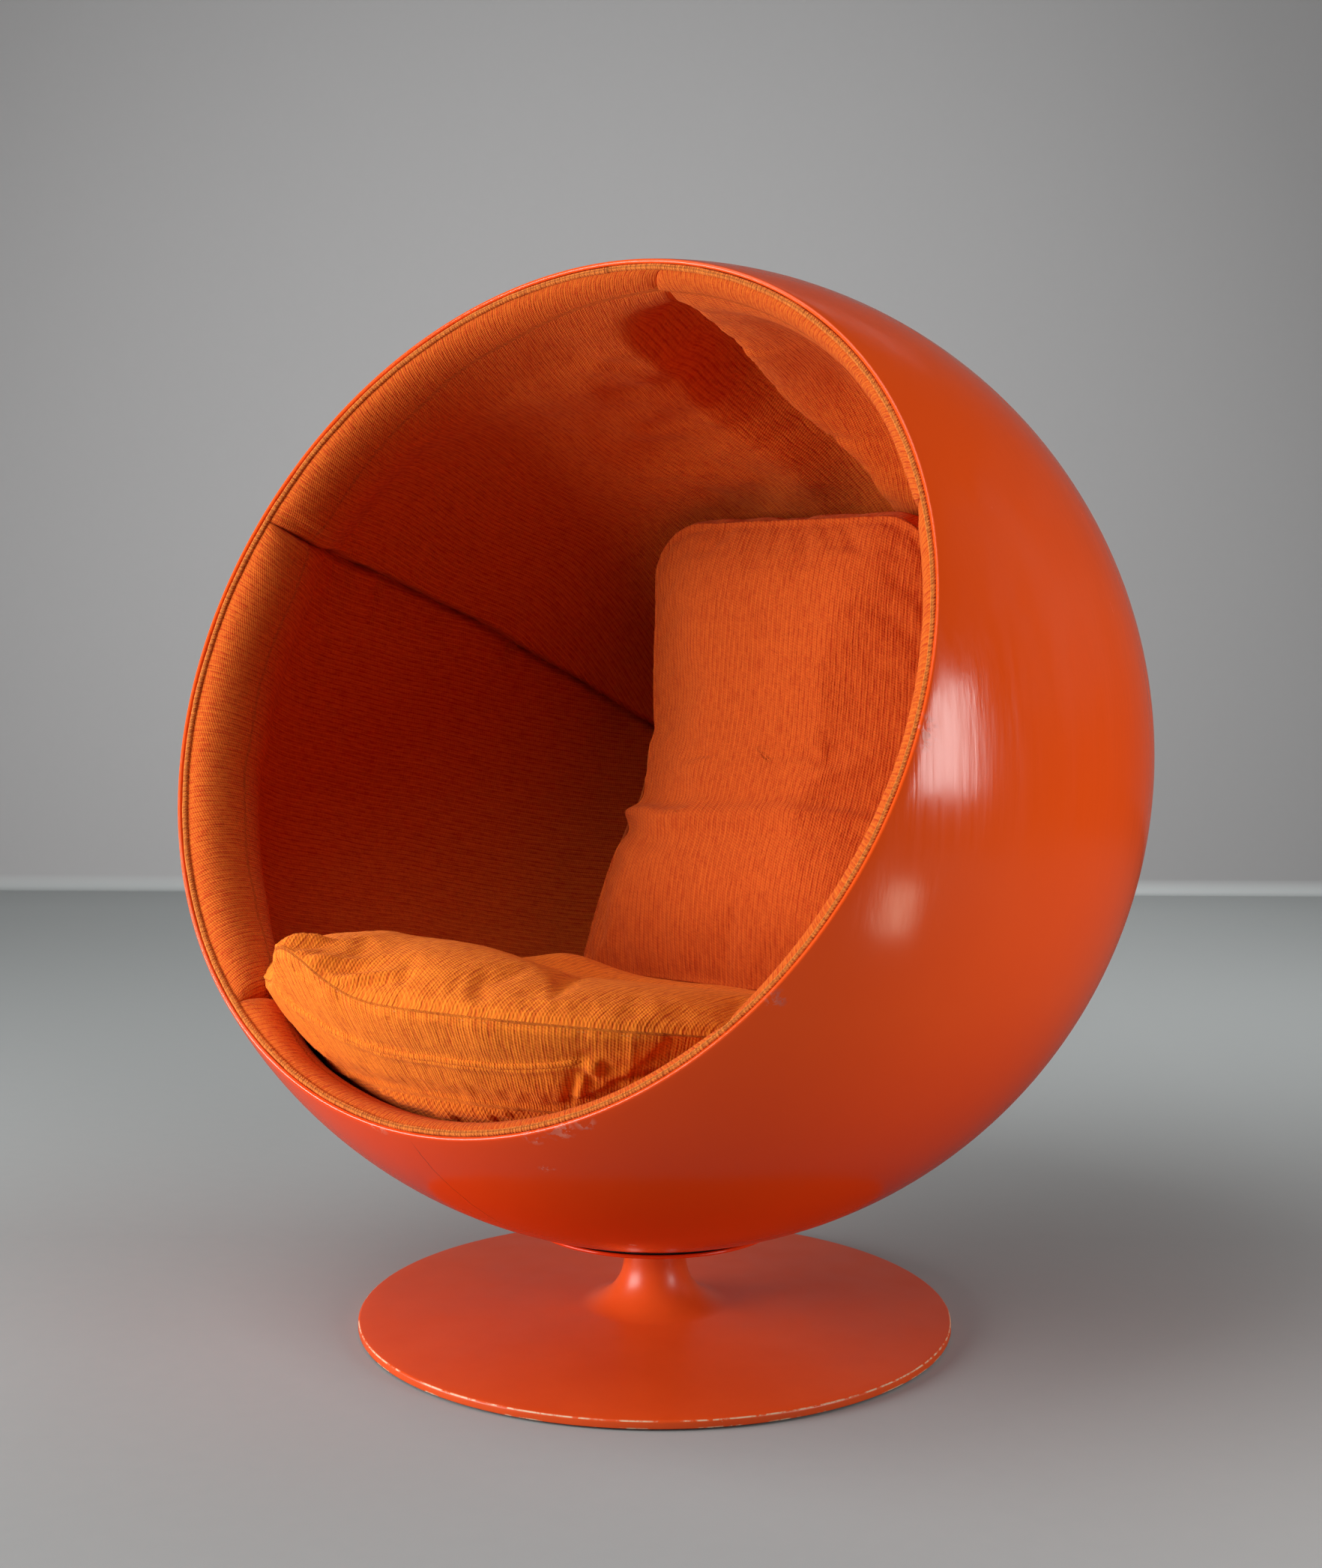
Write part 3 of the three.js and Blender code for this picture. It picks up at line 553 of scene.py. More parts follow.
def foot():
    """The cast foot with its trumpet neck and the hollow under it, and the mat it stands on."""
    neck, neck_top, chamfer, straight = 0.036, 0.0782, 0.0016, 0.0072
    flare_foot, edge_top, rounding, low_rounding = 0.018, 0.0112, 0.003, 0.001
    bearing_seat, tube_bottom, bore, boss_radius = 0.0677, 0.017, 0.0238, 0.0325
    bottom, wall = 0.0023, 0.005
    start = neck_top - straight
    flare = start - flare_foot
    centre = (neck + flare, start)
    shoulder = FOOT_RADIUS - rounding
    slope = math.atan2(flare_foot - edge_top, shoulder - centre[0])
    edge = arc((shoulder, edge_top - rounding), rounding, 0, TURN / 4 - slope, 8)
    sweep = arc(centre, flare, 3 * TURN / 4 - slope, TURN / 2, 32)
    top = arc((neck - chamfer, neck_top - chamfer), chamfer, 0, TURN / 4, 5)
    lip = FOOT_RADIUS - 0.009
    under = edge_top - wall + (shoulder - lip) * math.tan(slope)
    outline = arc((FOOT_RADIUS - low_rounding, bottom + low_rounding), low_rounding, 3 * TURN / 4, TURN, 4) + edge
    outline += [(r, edge_top + (shoulder - r) * math.tan(slope)) for r in np.linspace(0.325, 0.105, 12)]
    outline += sweep + top + [(neck - 0.005, neck_top), (neck - 0.005, bearing_seat)]
    outline += [(bore, bearing_seat), (bore, tube_bottom), (boss_radius, tube_bottom)]
    boss = math.acos((centre[0] - boss_radius) / (flare + wall))
    outline += arc(centre, flare + wall, TURN / 2 + boss, 3 * TURN / 4 - slope, 16)
    outline += [(lip, under), (lip, bottom)]
    points, faces = revolved(outline, 192)
    piece("foot_body", points, faces, "foot_enamel", ["foot_casting"], body="foot")
    mat = [(0.0, 0.0), (0.3352, 0.0), (0.336, 0.0008), (0.336, 0.002), (0.0, 0.002)]
    points, faces = revolved(mat, 160)
    piece("mat_disc", points, faces, "rubber", ["floor_mat"], body="foot")


foot()

# The lining

# The lining starts at this angle from the opening's axis, and its seams drift over this many degrees behind it
RIM = 59
SEAM_RUN = 79

# Turns of the seams from the top towards +X, in degrees
SEAMS = {"top": 0.0, "right": 67.5, "low_right": 135.0, "low_left": 225.0, "left": 292.5}

# Each panel's two seams, and at each: the padding's edge, how far it takes to fill out, and the size of the gathers
GORES = {
    "upper_right": (("top", 0.030, 0.014, 0.0030), ("right", 0.014, 0.014, 0.0022)),
    "side_right": (("right", 0.010, 0.014, 0.0022), ("low_right", 0.011, 0.014, 0.0018)),
    "bottom": (("low_right", 0.011, 0.014, 0.0018), ("low_left", 0.011, 0.014, 0.0018)),
    "side_left": (("low_left", 0.011, 0.014, 0.0018), ("left", 0.011, 0.034, 0.0058)),
    "upper_left": (("left", 0.028, 0.010, 0.0034), ("top", 0.008, 0.034, 0.0022)),
}


def seam_turn(name, angle):
    """Where a seam runs, as a turn from the top towards +X, at an angle from the opening's axis."""
    degrees = np.degrees(angle)
    run = np.clip((degrees - RIM) / SEAM_RUN, 0, 1)
    drift = {
        "top": softened(degrees, TOP_SEAM, 2),
        "left": 1.2 + 4.3 * run,
        "right": -0.8 - 4.7 * run,
        "low_left": -8.0 * (1 - smooth(degrees, 62, 110)),
    }
    return np.radians(SEAMS[name] + drift.get(name, 0.0) + 0.35 * SEAM_NOISE(degrees / 9, SEAMS[name]))


SEAM_NOISE = Noise(3)
# The top seam's turn at angles from the opening's axis, in degrees
TOP_SEAM = [(59, 9.6), (64, 6.4), (72, 4.0), (84, 3.2), (95, 2.0), (104, 4.8), (112, 10.0), (122, 11.5), (180, 12.0)]


def on_ball(angle, turn, radius):
    across = radius * np.sin(angle)
    return np.stack([across * np.sin(turn), across * np.cos(turn), radius * np.cos(angle)], -1)


def lining_depth(name, seed, angle, turn, across, width, distances):
    """Thickness of the padding, with its rolled edge, drawn-in seams, gathers and soft wrinkles."""
    noise = Noise(seed)
    along = angle * INNER
    run = (angle - ROLL_START) * INNER
    narrow = np.minimum(1, width / 0.18)
    degrees = np.degrees(angle)
    full = EDGE_PAD + (PAD - EDGE_PAD) * np.maximum(1 - np.abs(across) ** 2.6, 0) ** 0.9
    depth = full * narrow
    gathers = 0
    for (seam, pad, reach, size), away, shift in zip(GORES[name], distances, (0.0, 40.0)):
        drawn = (full * narrow - pad * narrow) * fade(away, reach)
        wide, steep = (0.0042, 2.0) if seam == "left" else (0.0024, 1.3)
        turned_in = (pad * narrow - 0.003) * np.exp(-((np.abs(away) / wide) ** steep))
        depth = depth - drawn - turned_in
        gather = noise(along / 0.0095, shift, seed) + 0.8 * noise(along / 0.023, shift + 9, seed)
        length = 0.016 + 0.030 * smooth(noise(along / 0.030, shift + 21, seed), -0.4, 0.8)
        gathers += size * gather * fade(away, length) * (1 - fade(away, 0.003))
        finger = smooth(noise(along / 0.013, shift + 33, seed), 0.25, 0.8)
        gathers -= 1.4 * size * finger * fade(away, 2 * length) * (1 - fade(away, 0.006))
    if name == "upper_right":
        band = np.clip((degrees - RIM) / 25, 0, 1) ** 0.85 * (1 - smooth(angle, *np.radians((114, 130))))
        off = distances[0] - 0.034
        depth += 0.043 * band * bell(off, np.where(off < 0, 0.024, 0.095))
    place = across * width / 2
    if name == "upper_left":
        sag = smooth(angle, *np.radians((RIM, 78))) * (1 - smooth(angle, *np.radians((104, 134))))
        from_top = distances[1]
        slack = smooth(from_top, 0.040, 0.110) * (1 - smooth(from_top, 0.24, 0.52))
        depth += 0.046 * sag * slack
        folds = noise.layered(from_top / 0.075, along / 0.055 + from_top / 0.11, 5.7, 2)
        depth += 0.0060 * folds * bell(from_top - 0.14, 0.14)
    depth += 0.0032 * noise.layered(place / 0.12, along / 0.16, 3.3) * smooth(np.minimum(*distances), 0.0, 0.05)
    gathers += 0.0009 * noise.layered(place / 0.028, along / 0.09, 8.1, 2) * smooth(run, 0.04, 0.16)
    return depth + gathers * smooth(run, 0.0, 0.05), gathers


# The rolled edge: at turns in degrees from the top towards +X, how far it reaches inward and how long it is
ROLL = [
    (-180, 0.013, 0.022), (-152, 0.014, 0.024), (-138, 0.038, 0.046), (-120, 0.041, 0.050), (-76, 0.037, 0.052),
    (-60, 0.027, 0.050), (-40, 0.021, 0.044), (-10, 0.017, 0.036), (2, 0.014, 0.030), (24, 0.012, 0.024),
    (54, 0.014, 0.026), (66, 0.020, 0.034), (112, 0.024, 0.036), (146, 0.014, 0.024), (180, 0.013, 0.022),
]


def roll_size(turn):
    """How far the rolled edge reaches inward and how long it is, at a turn from the top towards +X."""
    degrees = (np.degrees(turn) + 180) % 360 - 180
    return [softened(degrees, [(row[0], row[k]) for row in ROLL], 5) for k in (1, 2)]


def lining_panel(name, seed):
    """A padded panel: its rolled edge, its cover to the pole, and its back against the ball."""
    rows, columns, roll_rows = 172, 120, 38
    t = np.linspace(-1, 1, columns + 1)[None, :]
    across = 0.25 * t + 0.75 * np.sin(TURN / 4 * t)  # closer columns at the seams

    def between(angle):
        """Turns across the panel at an angle, its width and how far each lies from both seams."""
        start = seam_turn(GORES[name][0][0], angle)
        end = seam_turn(GORES[name][1][0], angle)
        end = np.where(end < start, end + TURN, end)
        turn = start + (end - start) * (across + 1) / 2
        ring = INNER * np.sin(angle)
        distances = ring * (turn - start), ring * (end - turn)
        return turn, ring * (end - start), distances, ring * (turn - (start + end) / 2)

    # The roll: a rounded edge from the piping inward
    q = np.linspace(0, 1, roll_rows)[:, None] * TURN / 4
    turn, width, distances, side = between(ROLL_START + q * 0.06)
    inward, length = roll_size(turn)
    near = np.minimum(*distances)
    noise = Noise(seed + 50)
    round_at = PIPE_CIRCLE * turn
    gather = noise(round_at / 0.010, 2.5) + 0.8 * noise(round_at / 0.024, 7.5)
    soft = 1 + 0.06 * noise(round_at / 0.09, 1.5) + 0.03 * noise(round_at / 0.035, 5.5)
    tight = 0.16 if name == "upper_right" else 0.40
    pinch = 1 - tight * fade(near, 0.016) - 0.22 * fade(near, 0.0018) + 0.12 * gather * fade(near, 0.026)
    if name == "upper_left":
        pinch = pinch * (1 - 0.34 * fade(distances[1], 0.07))
    inward, length = inward * soft * pinch, length * soft
    radial = PIPE_CIRCLE - 0.0008 - inward * np.sin(q)
    forward = PIPE_FORWARD - 0.0012 - length * (1 - np.cos(q))
    roll = np.stack([radial * np.sin(turn), radial * np.cos(turn), forward], -1)
    last = np.arctan2(radial[-1], forward[-1])[None, :]

    # The panel behind it, to the pole
    share = np.linspace(0, 1, rows - roll_rows + 1)[1:, None] ** 1.15
    angle = last + (math.radians(179.2) - last) * share
    inner_turn, width, distances, inner_side = between(angle)
    spread = np.broadcast_to(across, inner_turn.shape)
    depth, gathers = lining_depth(name, seed, angle, inner_turn, spread, width, distances)
    behind = (angle - last) * INNER
    upright = np.cos(inner_turn + math.radians(8))
    reach = 0.13 - 0.08 * smooth(-upright, 0.4, 0.95)
    if name == "upper_right":
        reach = 0.06
    ease = smooth(behind, 0.0, reach)
    straight = INNER - radial[-1][None, :] / np.sin(np.clip(angle, 0.5, TURN / 4))
    depth = np.clip(straight * (1 - ease) + depth * ease + gathers * ease * (1 - ease), 0.002, 0.120)
    panel = on_ball(angle, inner_turn, INNER - depth)

    front = np.concatenate([roll, panel])
    back_angle = np.concatenate([ROLL_START + (last - ROLL_START) * q / (TURN / 4), angle])
    turns = np.concatenate([turn, inner_turn])
    back = on_ball(back_angle, turns, np.full(turns.shape, INNER - 0.0004))
    loops = np.concatenate([front, back[:, ::-1]], 1)
    along = np.concatenate([ROLL_START * INNER + 0.075 * q / (TURN / 4) + 0 * turn, angle * INNER + 0.02])
    weave = np.stack([np.concatenate([side, inner_side]) + seed * 0.37, along], -1)
    weave = np.concatenate([weave, weave[:, ::-1]], 1).reshape(-1, 2)
    points, faces = moved(loops.reshape(-1, 3), BOWL), pad_faces(*loops.shape[:2])
    piece(f"panel_{name}", points, faces, "cloth", [f"lining_{name}"], weave)


for count, gore_name in enumerate(GORES):
    lining_panel(gore_name, 11 + count)


def tube(name, path, normals, width, height, slot, closed=False, replaces=(), material=None):
    """A flattened tube along a path, with its weave along it. width and height may differ from point to point."""
    sides = 12
    path, normals = np.asarray(path), np.asarray(normals)
    ahead = np.roll(path, -1, 0) - np.roll(path, 1, 0)
    if not closed:
        ahead[0], ahead[-1] = path[1] - path[0], path[-1] - path[-2]
    ahead /= np.linalg.norm(ahead, axis=1, keepdims=True)
    side = np.cross(ahead, normals)
    side /= np.linalg.norm(side, axis=1, keepdims=True)
    out = np.cross(side, ahead)
    b = (np.arange(sides) * TURN / sides)[None, :, None]
    w = np.broadcast_to(width, len(path))[:, None, None]
    h = np.broadcast_to(height, len(path))[:, None, None]
    grid = path[:, None] + w * np.cos(b) * side[:, None] + h * np.sin(b) * out[:, None]
    faces = ring_faces(len(path), sides, wrap=closed, flip=True)
    if not closed:
        faces += ring_caps(len(path), sides)
    length = lengths_along(path)[:, None]
    weave = np.stack(np.broadcast_arrays(length, b[..., 0] * 0.003 + length * 0.5), -1)
    piece(name, grid.reshape(-1, 3), faces, slot, replaces, weave.reshape(-1, 2), material)


def piping():
    """The round piping between the moulded edge and the lining."""
    steps = 1100
    noise = Noise(5)
    a = np.arange(steps) * TURN / steps
    length = a * PIPE_CIRCLE
    radius = PIPE_CIRCLE + 0.0006 * noise(length / 0.05, 0.5) + 0.0003 * noise(length / 0.012, 4.5)
    height = PIPE_FORWARD + 0.0004 * noise(length / 0.07, 9.5)
    path = np.stack([radius * np.sin(a), radius * np.cos(a), height], -1)
    outward = np.stack([np.sin(a), np.cos(a), 0 * a], -1)
    size = PIPE_RADIUS + 0.00025 * noise(length / 0.02, 2.5)
    m = np.array(BOWL)[:3, :3]
    tube("rim_welt", moved(path, BOWL), outward @ m.T, size, size, "piping", True, ["rim_piping"])


piping()


def stitches(name, path, normals, spacing=0.0046):
    """Single stitches along a path, each a short bead that lies on the cloth."""
    length, thick = 0.0030, 0.00045
    path, normals = np.asarray(path), np.asarray(normals)
    at = lengths_along(path)
    count = int(at[-1] / spacing)
    noise = np.random.default_rng(len(path))
    points, faces = [], []
    rings, sides = 5, 6
    for k in range(count):
        middle = (k + 0.5) * spacing + noise.normal(0, spacing * 0.05)
        half = length / 2 * (1 + noise.normal(0, 0.08))
        ends = [np.array(sampled(v, at, path)) for v in (middle - half, middle + half)]
        out = np.array(sampled(middle, at, normals))
        ahead = ends[1] - ends[0]
        size = np.linalg.norm(ahead)
        if size < length * 0.5:
            continue
        ahead /= size
        side = np.cross(ahead, out)
        side /= np.linalg.norm(side)
        out = np.cross(side, ahead)
        start = len(points)
        for i in range(rings):
            t = i / (rings - 1)
            bulge = math.sin(math.pi * (0.12 + 0.76 * t))
            centre = ends[0] + (ends[1] - ends[0]) * t + out * thick * (bulge - 0.55)
            for j in range(sides):
                b = j * TURN / sides
                points.append(centre + thick * bulge * (side * math.cos(b) + out * math.sin(b) * 0.8))
        faces += ring_faces(rings, sides, start, flip=True) + ring_caps(rings, sides, start)
    piece(name, points, faces, "piping", (), np.asarray(points)[:, :2], THREAD)


# Cushions


def positions(mesh):
    places = np.zeros(len(mesh.vertices) * 3, np.float32)
    mesh.vertices.foreach_get("co", places)
    return places.reshape(-1, 3)


def simulated(points, faces, growth, cap, pinned):
    """How far a short cloth simulation moves each point of a closed form. The cloth is a little larger than the
    form, and is held where pinned gives 1, so it fills out between its seams and puckers along them."""
    voxel, frames = 0.007, 20
    mesh = bpy.data.meshes.new("form")
    mesh.from_pydata(points.tolist(), [], faces)
    form = linked("form", mesh)
    remesh = form.modifiers.new("remesh", "REMESH")
    remesh.mode = "VOXEL"
    remesh.voxel_size = voxel
    shape = bpy.data.meshes.new_from_object(form.evaluated_get(bpy.context.evaluated_depsgraph_get()))
    soft = linked("soft", shape)
    bpy.data.objects.remove(form)
    bpy.data.meshes.remove(mesh)
    before = positions(shape).astype(float)
    held = soft.vertex_groups.new(name="held")
    weights = pinned(before)
    for index in np.nonzero(weights > 0.01)[0].tolist():
        held.add([index], float(weights[index]), "REPLACE")
    cloth_modifier = soft.modifiers.new("cloth", "CLOTH")
    for key, value in {
        "quality": 5, "mass": 0.3, "tension_stiffness": 25, "compression_stiffness": 25, "shear_stiffness": 8,
        "bending_stiffness": 0.8, "use_pressure": True, "uniform_pressure_force": 2.0, "shrink_min": -growth,
        "vertex_group_mass": "held",
    }.items():
        setattr(cloth_modifier.settings, key, value)
    cloth_modifier.settings.effector_weights.gravity = 0
    cloth_modifier.collision_settings.use_collision = False
    for step in range(1, frames + 1):
        bpy.context.scene.frame_set(step)
    shift = positions(soft.evaluated_get(bpy.context.evaluated_depsgraph_get()).data) - before
    bpy.data.objects.remove(soft)
    bpy.data.meshes.remove(shape)
    bpy.context.scene.frame_set(1)
    far = np.linalg.norm(shift, axis=1, keepdims=True)
    shift *= np.minimum(1, cap / np.maximum(far, 1e-9))
    tree = nearest(before)
    moves = np.zeros_like(points)
    for index, place in enumerate(points):
        near = tree.find_n(place, 5)
        weight = np.array([1 / (found[2] + 0.001) for found in near])
        moves[index] = (shift[[found[1] for found in near]] * weight[:, None]).sum(0) / weight.sum()
    return moves


def within(points, limit):
    """Draws points back to a sphere about the ball's centre."""
    limit = np.asarray(limit)[..., None] if np.ndim(limit) else limit
    reach = np.linalg.norm(points, axis=-1, keepdims=True)
    return np.where(reach > limit, points * limit / reach, points)


def grid_normals(grid):
    """Outward normals of rows of closed loops."""
    around = np.roll(grid, -1, 1) - np.roll(grid, 1, 1)
    down = np.gradient(grid, axis=0)
    normal = np.cross(around, down)
    return normal / np.maximum(np.linalg.norm(normal, axis=-1, keepdims=True), 1e-12)


def closed_rows(rows, count):
    """Faces over rows of loops closed by a pole vertex at each end, which come last."""
    poles = rows * count, rows * count + 1
    faces = ring_faces(rows, count, flip=True)
    last = (rows - 1) * count
    for j in range(count):
        faces += [(poles[0], j, (j + 1) % count), (poles[1], last + (j + 1) % count, last + j)]
    return faces


def corner_weave(faces, weave):
    """Weave coordinates for each corner. A face that spans two cuts of cloth takes them from one side of it."""
    out = []
    for face in faces:
        at = weave[list(face)]
        if np.ptp(at[:, 0]) > 0.4:
            at = np.where(np.abs(at - at[0]) > 0.4, at[0], at)
        out.append(at)
    return np.concatenate(out)


# Places on the seat's side, as degrees from the front towards +X and metres below the ball's centre
ZIP = [
    (-27.2, 0.286), (-22.6, 0.297), (-13.8, 0.313), (-5.1, 0.322), (1.6, 0.323), (12.5, 0.322), (19.5, 0.319),
    (27.6, 0.309),
]
ZIP_END = (29.2, 0.313)
SIDE_SEAMS = (34.0, -23.5, 180.0)

# Folds over the crown at the left end: degrees from the front, slant in degrees a metre, width and depth
LEFT_FOLDS = [(-21.5, 60, 1.2, 0.009), (-15.0, 90, 1.5, 0.007), (-11.0, 150, 1.6, 0.006), (-27.0, 30, 1.4, 0.006)]

# Each cut of a cushion's cloth starts at a place of its own on the bolt, in metres across
SEAT_SIDE_CUT, SEAT_UNDER_CUT = 3.0, 7.0
BACK_FRONT_CUT, BACK_SIDE_CUT, BACK_REAR_CUT = 11, 15, 19


def seam_lift(degrees):
    """The upper seam is drawn up at the left end of the front."""
    return 0.044 * bell(degrees + 20, np.where(degrees > -20, 9.0, 7.0))


# The ring of the seat's cover that stays high round the hollow: degrees from the front and height
SEAT_CREST = [(0, 0.058), (40, 0.053), (62, 0.044), (80, 0.034), (97, 0.022), (112, 0.011), (180, 0.009)]


def seat_height(share, x, y, flat=0.0):
    """Height of the seat's cover above its upper seam. The back cushion pushes a low roll up in front of it."""
    degrees = np.abs(np.degrees(np.arctan2(x, -y)))
    crest = softened(degrees, SEAT_CREST, 8) - flat
    height = 0.009 + (crest - 0.009) * smooth(share, 0, 0.75)
    height += 0.010 * bell(y - 0.06, 0.05) * np.exp(-((x / 0.20) ** 4))
    height += 0.017 * np.exp(-(((x + 0.15) ** 2 + (y - 0.06) ** 2) / 0.060**2))
    return height * np.sqrt(np.clip(1 - share**6, 0, 1))


def seat_relief(grid, above, degrees, depth):
    """How far the seat's cover stands out along its normals, for its seams, gathers, folds and creases."""
    noise = Noise(31)
    around = np.radians(degrees) * SEAT_SIDE
    boxing = (above < 0) & (above > -0.5)
    reach = np.abs(above)
    left = bell(degrees + 16, 11)
    # The upper seam, with gathers on both sides of it
    gather = noise(around / 0.011, 2.5, 0.5) + 0.7 * noise(around / 0.026, 7.5, 0.5)
    length = 0.014 + 0.030 * smooth(noise(around / 0.03, 5.5, 0.5), -0.3, 0.8) + 0.020 * left
    size = 0.0008 + 0.0042 * left
    shape = size * gather * fade(reach, length) * (1 - fade(reach, 0.004)) * (above > -0.5)
    shape -= 0.0016 * bell(reach, 0.0016)
    shape += 0.0007 * bell(reach - 0.005, 0.003)
    for middle, slant, wide, deep in LEFT_FOLDS:
        off = degrees - middle - slant * above
        shape -= deep * bell(off, wide) * bell(above - 0.028, 0.026) * (above > 0)
        shape += 0.6 * deep * bell(off - 2.6, 1.3 * wide) * bell(above - 0.03, 0.03) * (above > 0)
    # The lower seam
    low = depth - LOWER_SEAM
    fold = noise(around / 0.014, 1.5, 9.5)
    shape -= 0.0026 * bell(low, 0.0022)
    shape += 0.0007 * fold * fade(np.abs(low), 0.014)
    # Upright seams across the side
    for seam in SIDE_SEAMS:
        off = ((degrees - seam + 180) % 360 - 180) * SEAT_DEGREE + 0.002 * noise(depth / 0.02, seam)
        shape -= 0.0022 * bell(off, 0.0018) * boxing
        shape += 0.0008 * noise(depth / 0.008, 3.5, seam) * fade(np.abs(off), 0.012) * boxing
    # The hollow at the end of the zip, the fold below it and the creases towards the rim
    x, y = (degrees - ZIP_END[0]) * SEAT_DEGREE, depth - ZIP_END[1]
    r = np.hypot(x, y)
    shape -= 0.011 * bell(r, 0.0055) * boxing
    shape += 0.0035 * bell(r - 0.012, 0.006) * boxing * (0.6 + 0.4 * np.cos(3 * np.arctan2(y, x)))
    fold = x + 0.016 + 0.35 * y
    shape += 0.0045 * bell(fold, 0.006) * bell(y - 0.022, 0.018) * boxing
    shape -= 0.0040 * bell(fold - 0.009, 0.0045) * bell(y - 0.020, 0.016) * boxing
    crease = np.sin((y + 0.25 * x) * TURN / 0.0165 + 0.8) * bell(degrees - 38, 6) * bell(y - 0.014, 0.020)
    shape += 0.0030 * crease * boxing
    # The lip over the zip
    at, below = np.array(ZIP).T
    up = np.interp(degrees, at, below) - depth
    on = (degrees >= at[0]) & (degrees <= at[-1])
    shape += on * boxing * (0.0020 * fade(np.abs(up - 0.006), 0.008) - 0.0022 * bell(up + 0.004, 0.003))
    # Soft creases in the cover
    x, y = grid[..., 0], grid[..., 1]
    shape += 0.0016 * noise.layered(x / 0.07, y / 0.11, 4.4, 2) * smooth(above, 0.0, 0.05)
    shape += 0.0011 * noise.layered(around / 0.035, depth / 0.03, 6.4, 2) * boxing
    return shape


def seat_pad():
    """Rows of loops from the crown to the underside, and for each point how far it is above the upper seam along the
    cover, which is negative on the side and -1 underneath."""
    count = 520
    a = np.arange(count) * TURN / count
    turn = a - 0.38 * np.sin(a)
    degrees = (np.degrees(turn) + 180) % 360 - 180
    frontward = np.cos(turn)
    lift = seam_lift(degrees)
    upper = UPPER_SEAM - lift
    upper_radius = np.sqrt(LIMIT**2 - upper**2) - SEAM_INSET
    lower_radius = math.sqrt(LIMIT**2 - LOWER_SEAM**2) - SEAM_INSET
    rounding = 1 - 0.07 * np.linspace(1, 0, 16)[1:] ** 1.5
    top = np.concatenate([np.linspace(0.02, 0.70, 44), np.linspace(0.71, 0.93, 30), rounding])
    side = np.linspace(0, 1, 46)[1:]
    under = 1 - np.linspace(0, 1, 36)[1:] ** 1.4 * 0.97
    rows, weaves, above = [], [], []

    def row(radius, height, weave, from_seam):
        rows.append(np.stack(np.broadcast_arrays(radius * np.sin(turn), -radius * np.cos(turn), height), -1))
        weaves.append(np.stack(np.broadcast_arrays(*weave), -1))
        above.append(np.broadcast_to(from_seam, turn.shape))

    for share in top:
        radius = share * upper_radius
        part = lift * smooth(share, 0.55, 1.0)
        flat = 0.019 * smooth(degrees, -6, 24) * (1 - smooth(degrees, 60, 110))
        x, y = radius * np.sin(turn), -radius * np.cos(turn)
        rise = part + seat_height(share, x, y, flat) * (1 - part / 0.058)
        row(radius, rise - UPPER_SEAM, (x, y), (1 - share) * upper_radius + rise - lift)
    for share in side:
        depth = upper + share * (LOWER_SEAM - upper)
        bulge = 0.007 * (1 - (1 - math.sin(math.pi * share ** 0.8)) ** 3)
        radius = np.sqrt(LIMIT**2 - depth**2) - SEAM_INSET + bulge * (0.4 + 0.6 * smooth(frontward, 0.3, 0.8))
        row(radius, -depth, (upper_radius.mean() * turn + SEAT_SIDE_CUT, -depth), upper - depth)
    for share in under:
        radius = share * lower_radius
        droop = 0.025 * smooth(frontward, 0.1, 0.7) * smooth(share, 0.45, 0.8) * (1 - smooth(share, 0.93, 1.0))
        height = -LOWER_SEAM - 0.026 * math.sqrt(1 - share**6) - droop
        row(radius, height, (radius * np.sin(turn) + SEAT_UNDER_CUT, -radius * np.cos(turn)), -1.0)
    grid, weave, above = np.array(rows), np.array(weaves), np.array(above)
    faces = closed_rows(len(rows), count)
    poles = np.array([[0, 0, seat_height(0.0, 0.0, 0.0) - UPPER_SEAM], [0, 0, -LOWER_SEAM - 0.026]])

    def held(places):
        depth = -places[:, 2]
        turned = np.degrees(np.arctan2(places[:, 0], -places[:, 1]))
        edge = np.minimum(np.abs(depth - (UPPER_SEAM - seam_lift(turned))), np.abs(depth - LOWER_SEAM))
        radius = np.hypot(places[:, 0], places[:, 1])
        rear = np.maximum(smooth(-places[:, 1], -0.02, -0.12), 0.8 * smooth(-radius, -0.30, -0.16))
        return np.maximum(bell(edge, 0.006) * (radius > 0.30), np.maximum(rear, places[:, 2] < -LOWER_SEAM - 0.004))

    flat = np.concatenate([grid.reshape(-1, 3), poles])
    flat += simulated(flat, faces, 0.014, 0.011, held)
    flat = within(flat, LIMIT - 0.001 + 0.004 * (flat[:, 1] < -0.33))
    grid, poles = flat[:-2].reshape(grid.shape), flat[-2:]

    degrees = np.broadcast_to(degrees, above.shape)
    depth = -np.array(rows)[..., 2]
    shape = seat_relief(grid, above, degrees, depth)
    limit = LIMIT + (0.007 + 0.005 * smooth(depth, 0.335, 0.36)) * smooth(frontward, 0.55, 0.8)
    grid = within(grid + grid_normals(grid) * shape[..., None], limit)
    return grid, poles, faces, weave, above, degrees, depth


SEAT_GRID, seat_poles, seat_faces, seat_weave, SEAT_ABOVE, SEAT_TURN, SEAT_DEPTH = seat_pad()
points = np.concatenate([SEAT_GRID.reshape(-1, 3), seat_poles])
weave = np.concatenate([seat_weave.reshape(-1, 2), [[0, 0], [SEAT_UNDER_CUT, 0]]])
weave = corner_weave(seat_faces, weave)
# The seat pad takes the lighter copy of the cloth, painted light.
pad = piece("seat_pad", moved(points, SEAT), seat_faces, "cloth", ["seat_cushion"], weave, SEAT_CLOTH_PAINTED_LIGHT)


